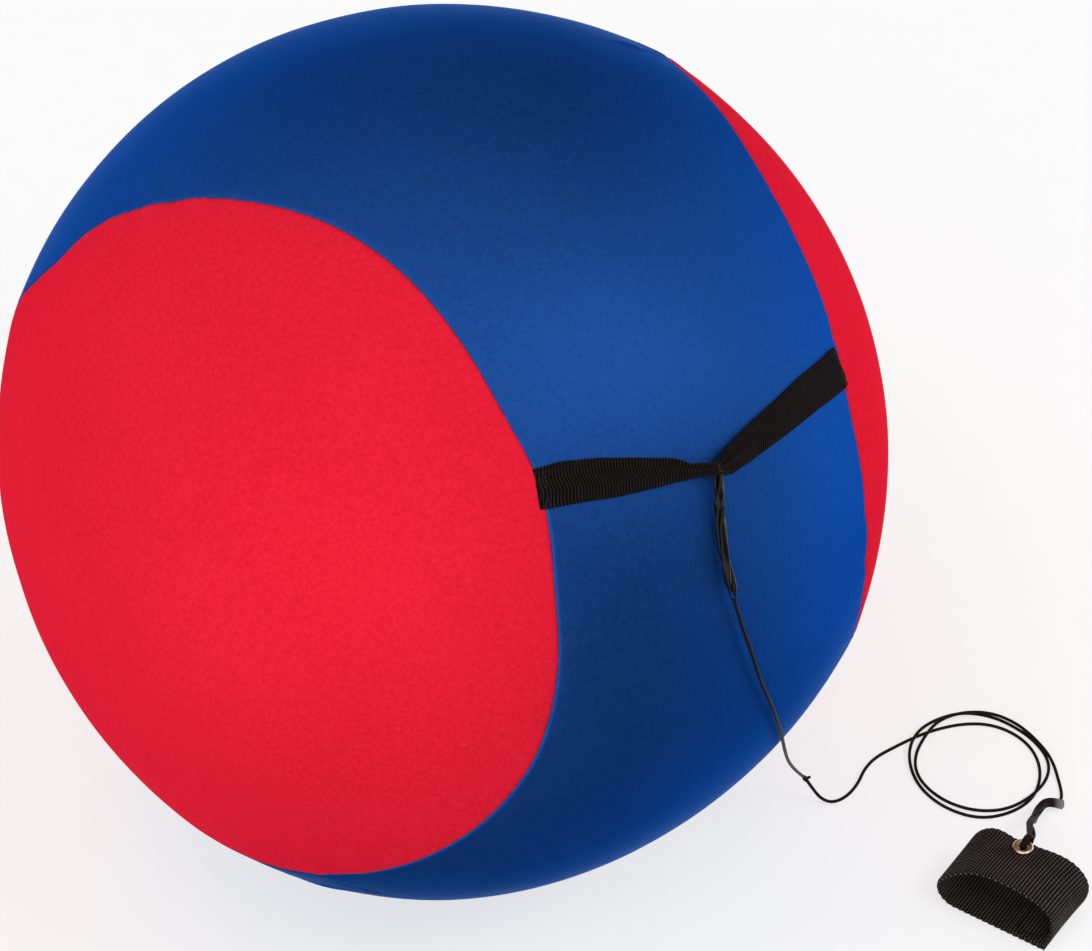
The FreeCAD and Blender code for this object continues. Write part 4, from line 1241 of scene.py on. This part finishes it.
# two bowed wires at each end of the zip
stop_parts = []
stop_radius = np.array([0.45] + [0.72] * 11 + [0.45]) * MM
stop_bow = 0.55 * MM * (1 - np.linspace(-1, 1, 13) ** 2)
for side in (1, -1):
    angle = side * (ZIP_HALF_ANGLE + 0.001 + TOOTH_PITCH)
    wire = np.array([zip_at(angle, y * MM, TEETH_RADIUS) for y in np.linspace(-3.0, 3.0, 13)])
    way = unit(zip_at(angle + 0.01, 0, TEETH_RADIUS) - zip_at(angle, 0, TEETH_RADIUS))
    for offset in (-0.75 * MM, 0.75 * MM):
        line = wire + way * offset
        line = line + unit(line - BALL_CENTRE) * stop_bow[:, None]
        stop_parts.append(sweep(line, np.linspace(0, 6 * MM, 13), lambda i: circle(stop_radius[i], 10)))
piece("zip_stop_staples", joined(stop_parts), ZIP_METAL, "root", ["zip_stops"])

# ------------------------------------------------------------------ CAD nodes that stay
STAYS = {"bladder": BLADDER, "valve_seat": VALVE, "valve_plug": VALVE, "seam_thread": THREAD}
for name, material in STAYS.items():
    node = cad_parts[name]
    node.data.materials.clear()
    node.data.materials.append(material)

# ------------------------------------------------------------------ stage, light and camera
paper = new_material("floor_paper")
paper.finish(paper.noise(40, 2.0), (0.40, 0.40, 0.40), (0.42, 0.42, 0.42), 0.9,
             Specular_IOR_Level=0.0, Emission_Color=(1, 1, 1), Emission_Strength=0.64)
floor = make("floor", [(-9, -6, 0), (9, -6, 0), (9, 12, 0), (-9, 12, 0)], [(0, 1, 2, 3)], None, paper.owner)
floor.visible_diffuse = False
floor.visible_glossy = False


def heading(azimuth, elevation):
    """Direction with azimuth 0 towards the camera's side and 90 to its right."""
    a, e = math.radians(azimuth), math.radians(elevation)
    return Vector((math.sin(a) * math.cos(e), -math.cos(a) * math.cos(e), math.sin(e)))


# Soft lights round the object: azimuth, elevation and spread in degrees, and brightness
STUDIO = {
    "top": (0, 75, 60, 0.8),
    "left": (-90, 25, 60, 0.65),
    "front_low": (-25, -10, 55, 1.65),
    "front_high": (-20, 35, 50, 0.45),
    "right_rim": (110, 0, 50, 1.25),
    "back_left_low": (-155, -25, 60, 1.15),
    "back_right_low": (135, -40, 55, 1.2),
}
LIGHT_CORE = math.radians(8)
AMBIENT = 0.05
world = bpy.data.worlds.new("studio")
bpy.context.scene.world = world
sky = Nodes(world)
place = sky.output("Generated", "ShaderNodeTexCoord")
glow = None
for name, (azimuth, elevation, spread, strength) in STUDIO.items():
    dot = sky.add("ShaderNodeVectorMath", operation="DOT_PRODUCT", label=name)
    sky.put(place, dot.inputs[0])
    sky.put(heading(azimuth, elevation), dot.inputs[1])
    light = sky.output(
        "Result", "ShaderNodeMapRange", interpolation_type="SMOOTHSTEP",
        Value=Value(sky, dot.outputs["Value"]), From_Min=math.cos(math.radians(spread)),
        From_Max=math.cos(LIGHT_CORE), To_Min=0, To_Max=strength)
    glow = sky.math("ADD", glow or AMBIENT, light)
sky.put(glow, world.node_tree.nodes["Background"].inputs["Strength"])
sky.put((1, 1, 1), world.node_tree.nodes["Background"].inputs["Color"])

KEY_AIM = Vector((0.05, 0.0, 0.2))
KEY_DISTANCE = 2.4
key_data = bpy.data.lights.new("key", "AREA")
key_data.size = 0.7
key_data.energy = 10.5
key = linked(bpy.data.objects.new("key", key_data))
key.location = KEY_AIM + heading(58, 42) * KEY_DISTANCE
key.rotation_euler = (KEY_AIM - key.location).to_track_quat("-Z", "Y").to_euler()

camera_data = bpy.data.cameras.new("camera")
camera_data.lens = 116.83
camera_data.sensor_width = 36
camera_data.clip_end = 60
camera = linked(bpy.data.objects.new("camera", camera_data))
camera.location = (0, -1.53209, 1.53408)
camera.rotation_euler = Vector((0.02858, 0.76045, -0.64876)).to_track_quat("-Z", "Y").to_euler()
bpy.context.scene.camera = camera
bpy.context.scene.view_settings.view_transform = "Standard"
bpy.context.scene.view_settings.look = "None"
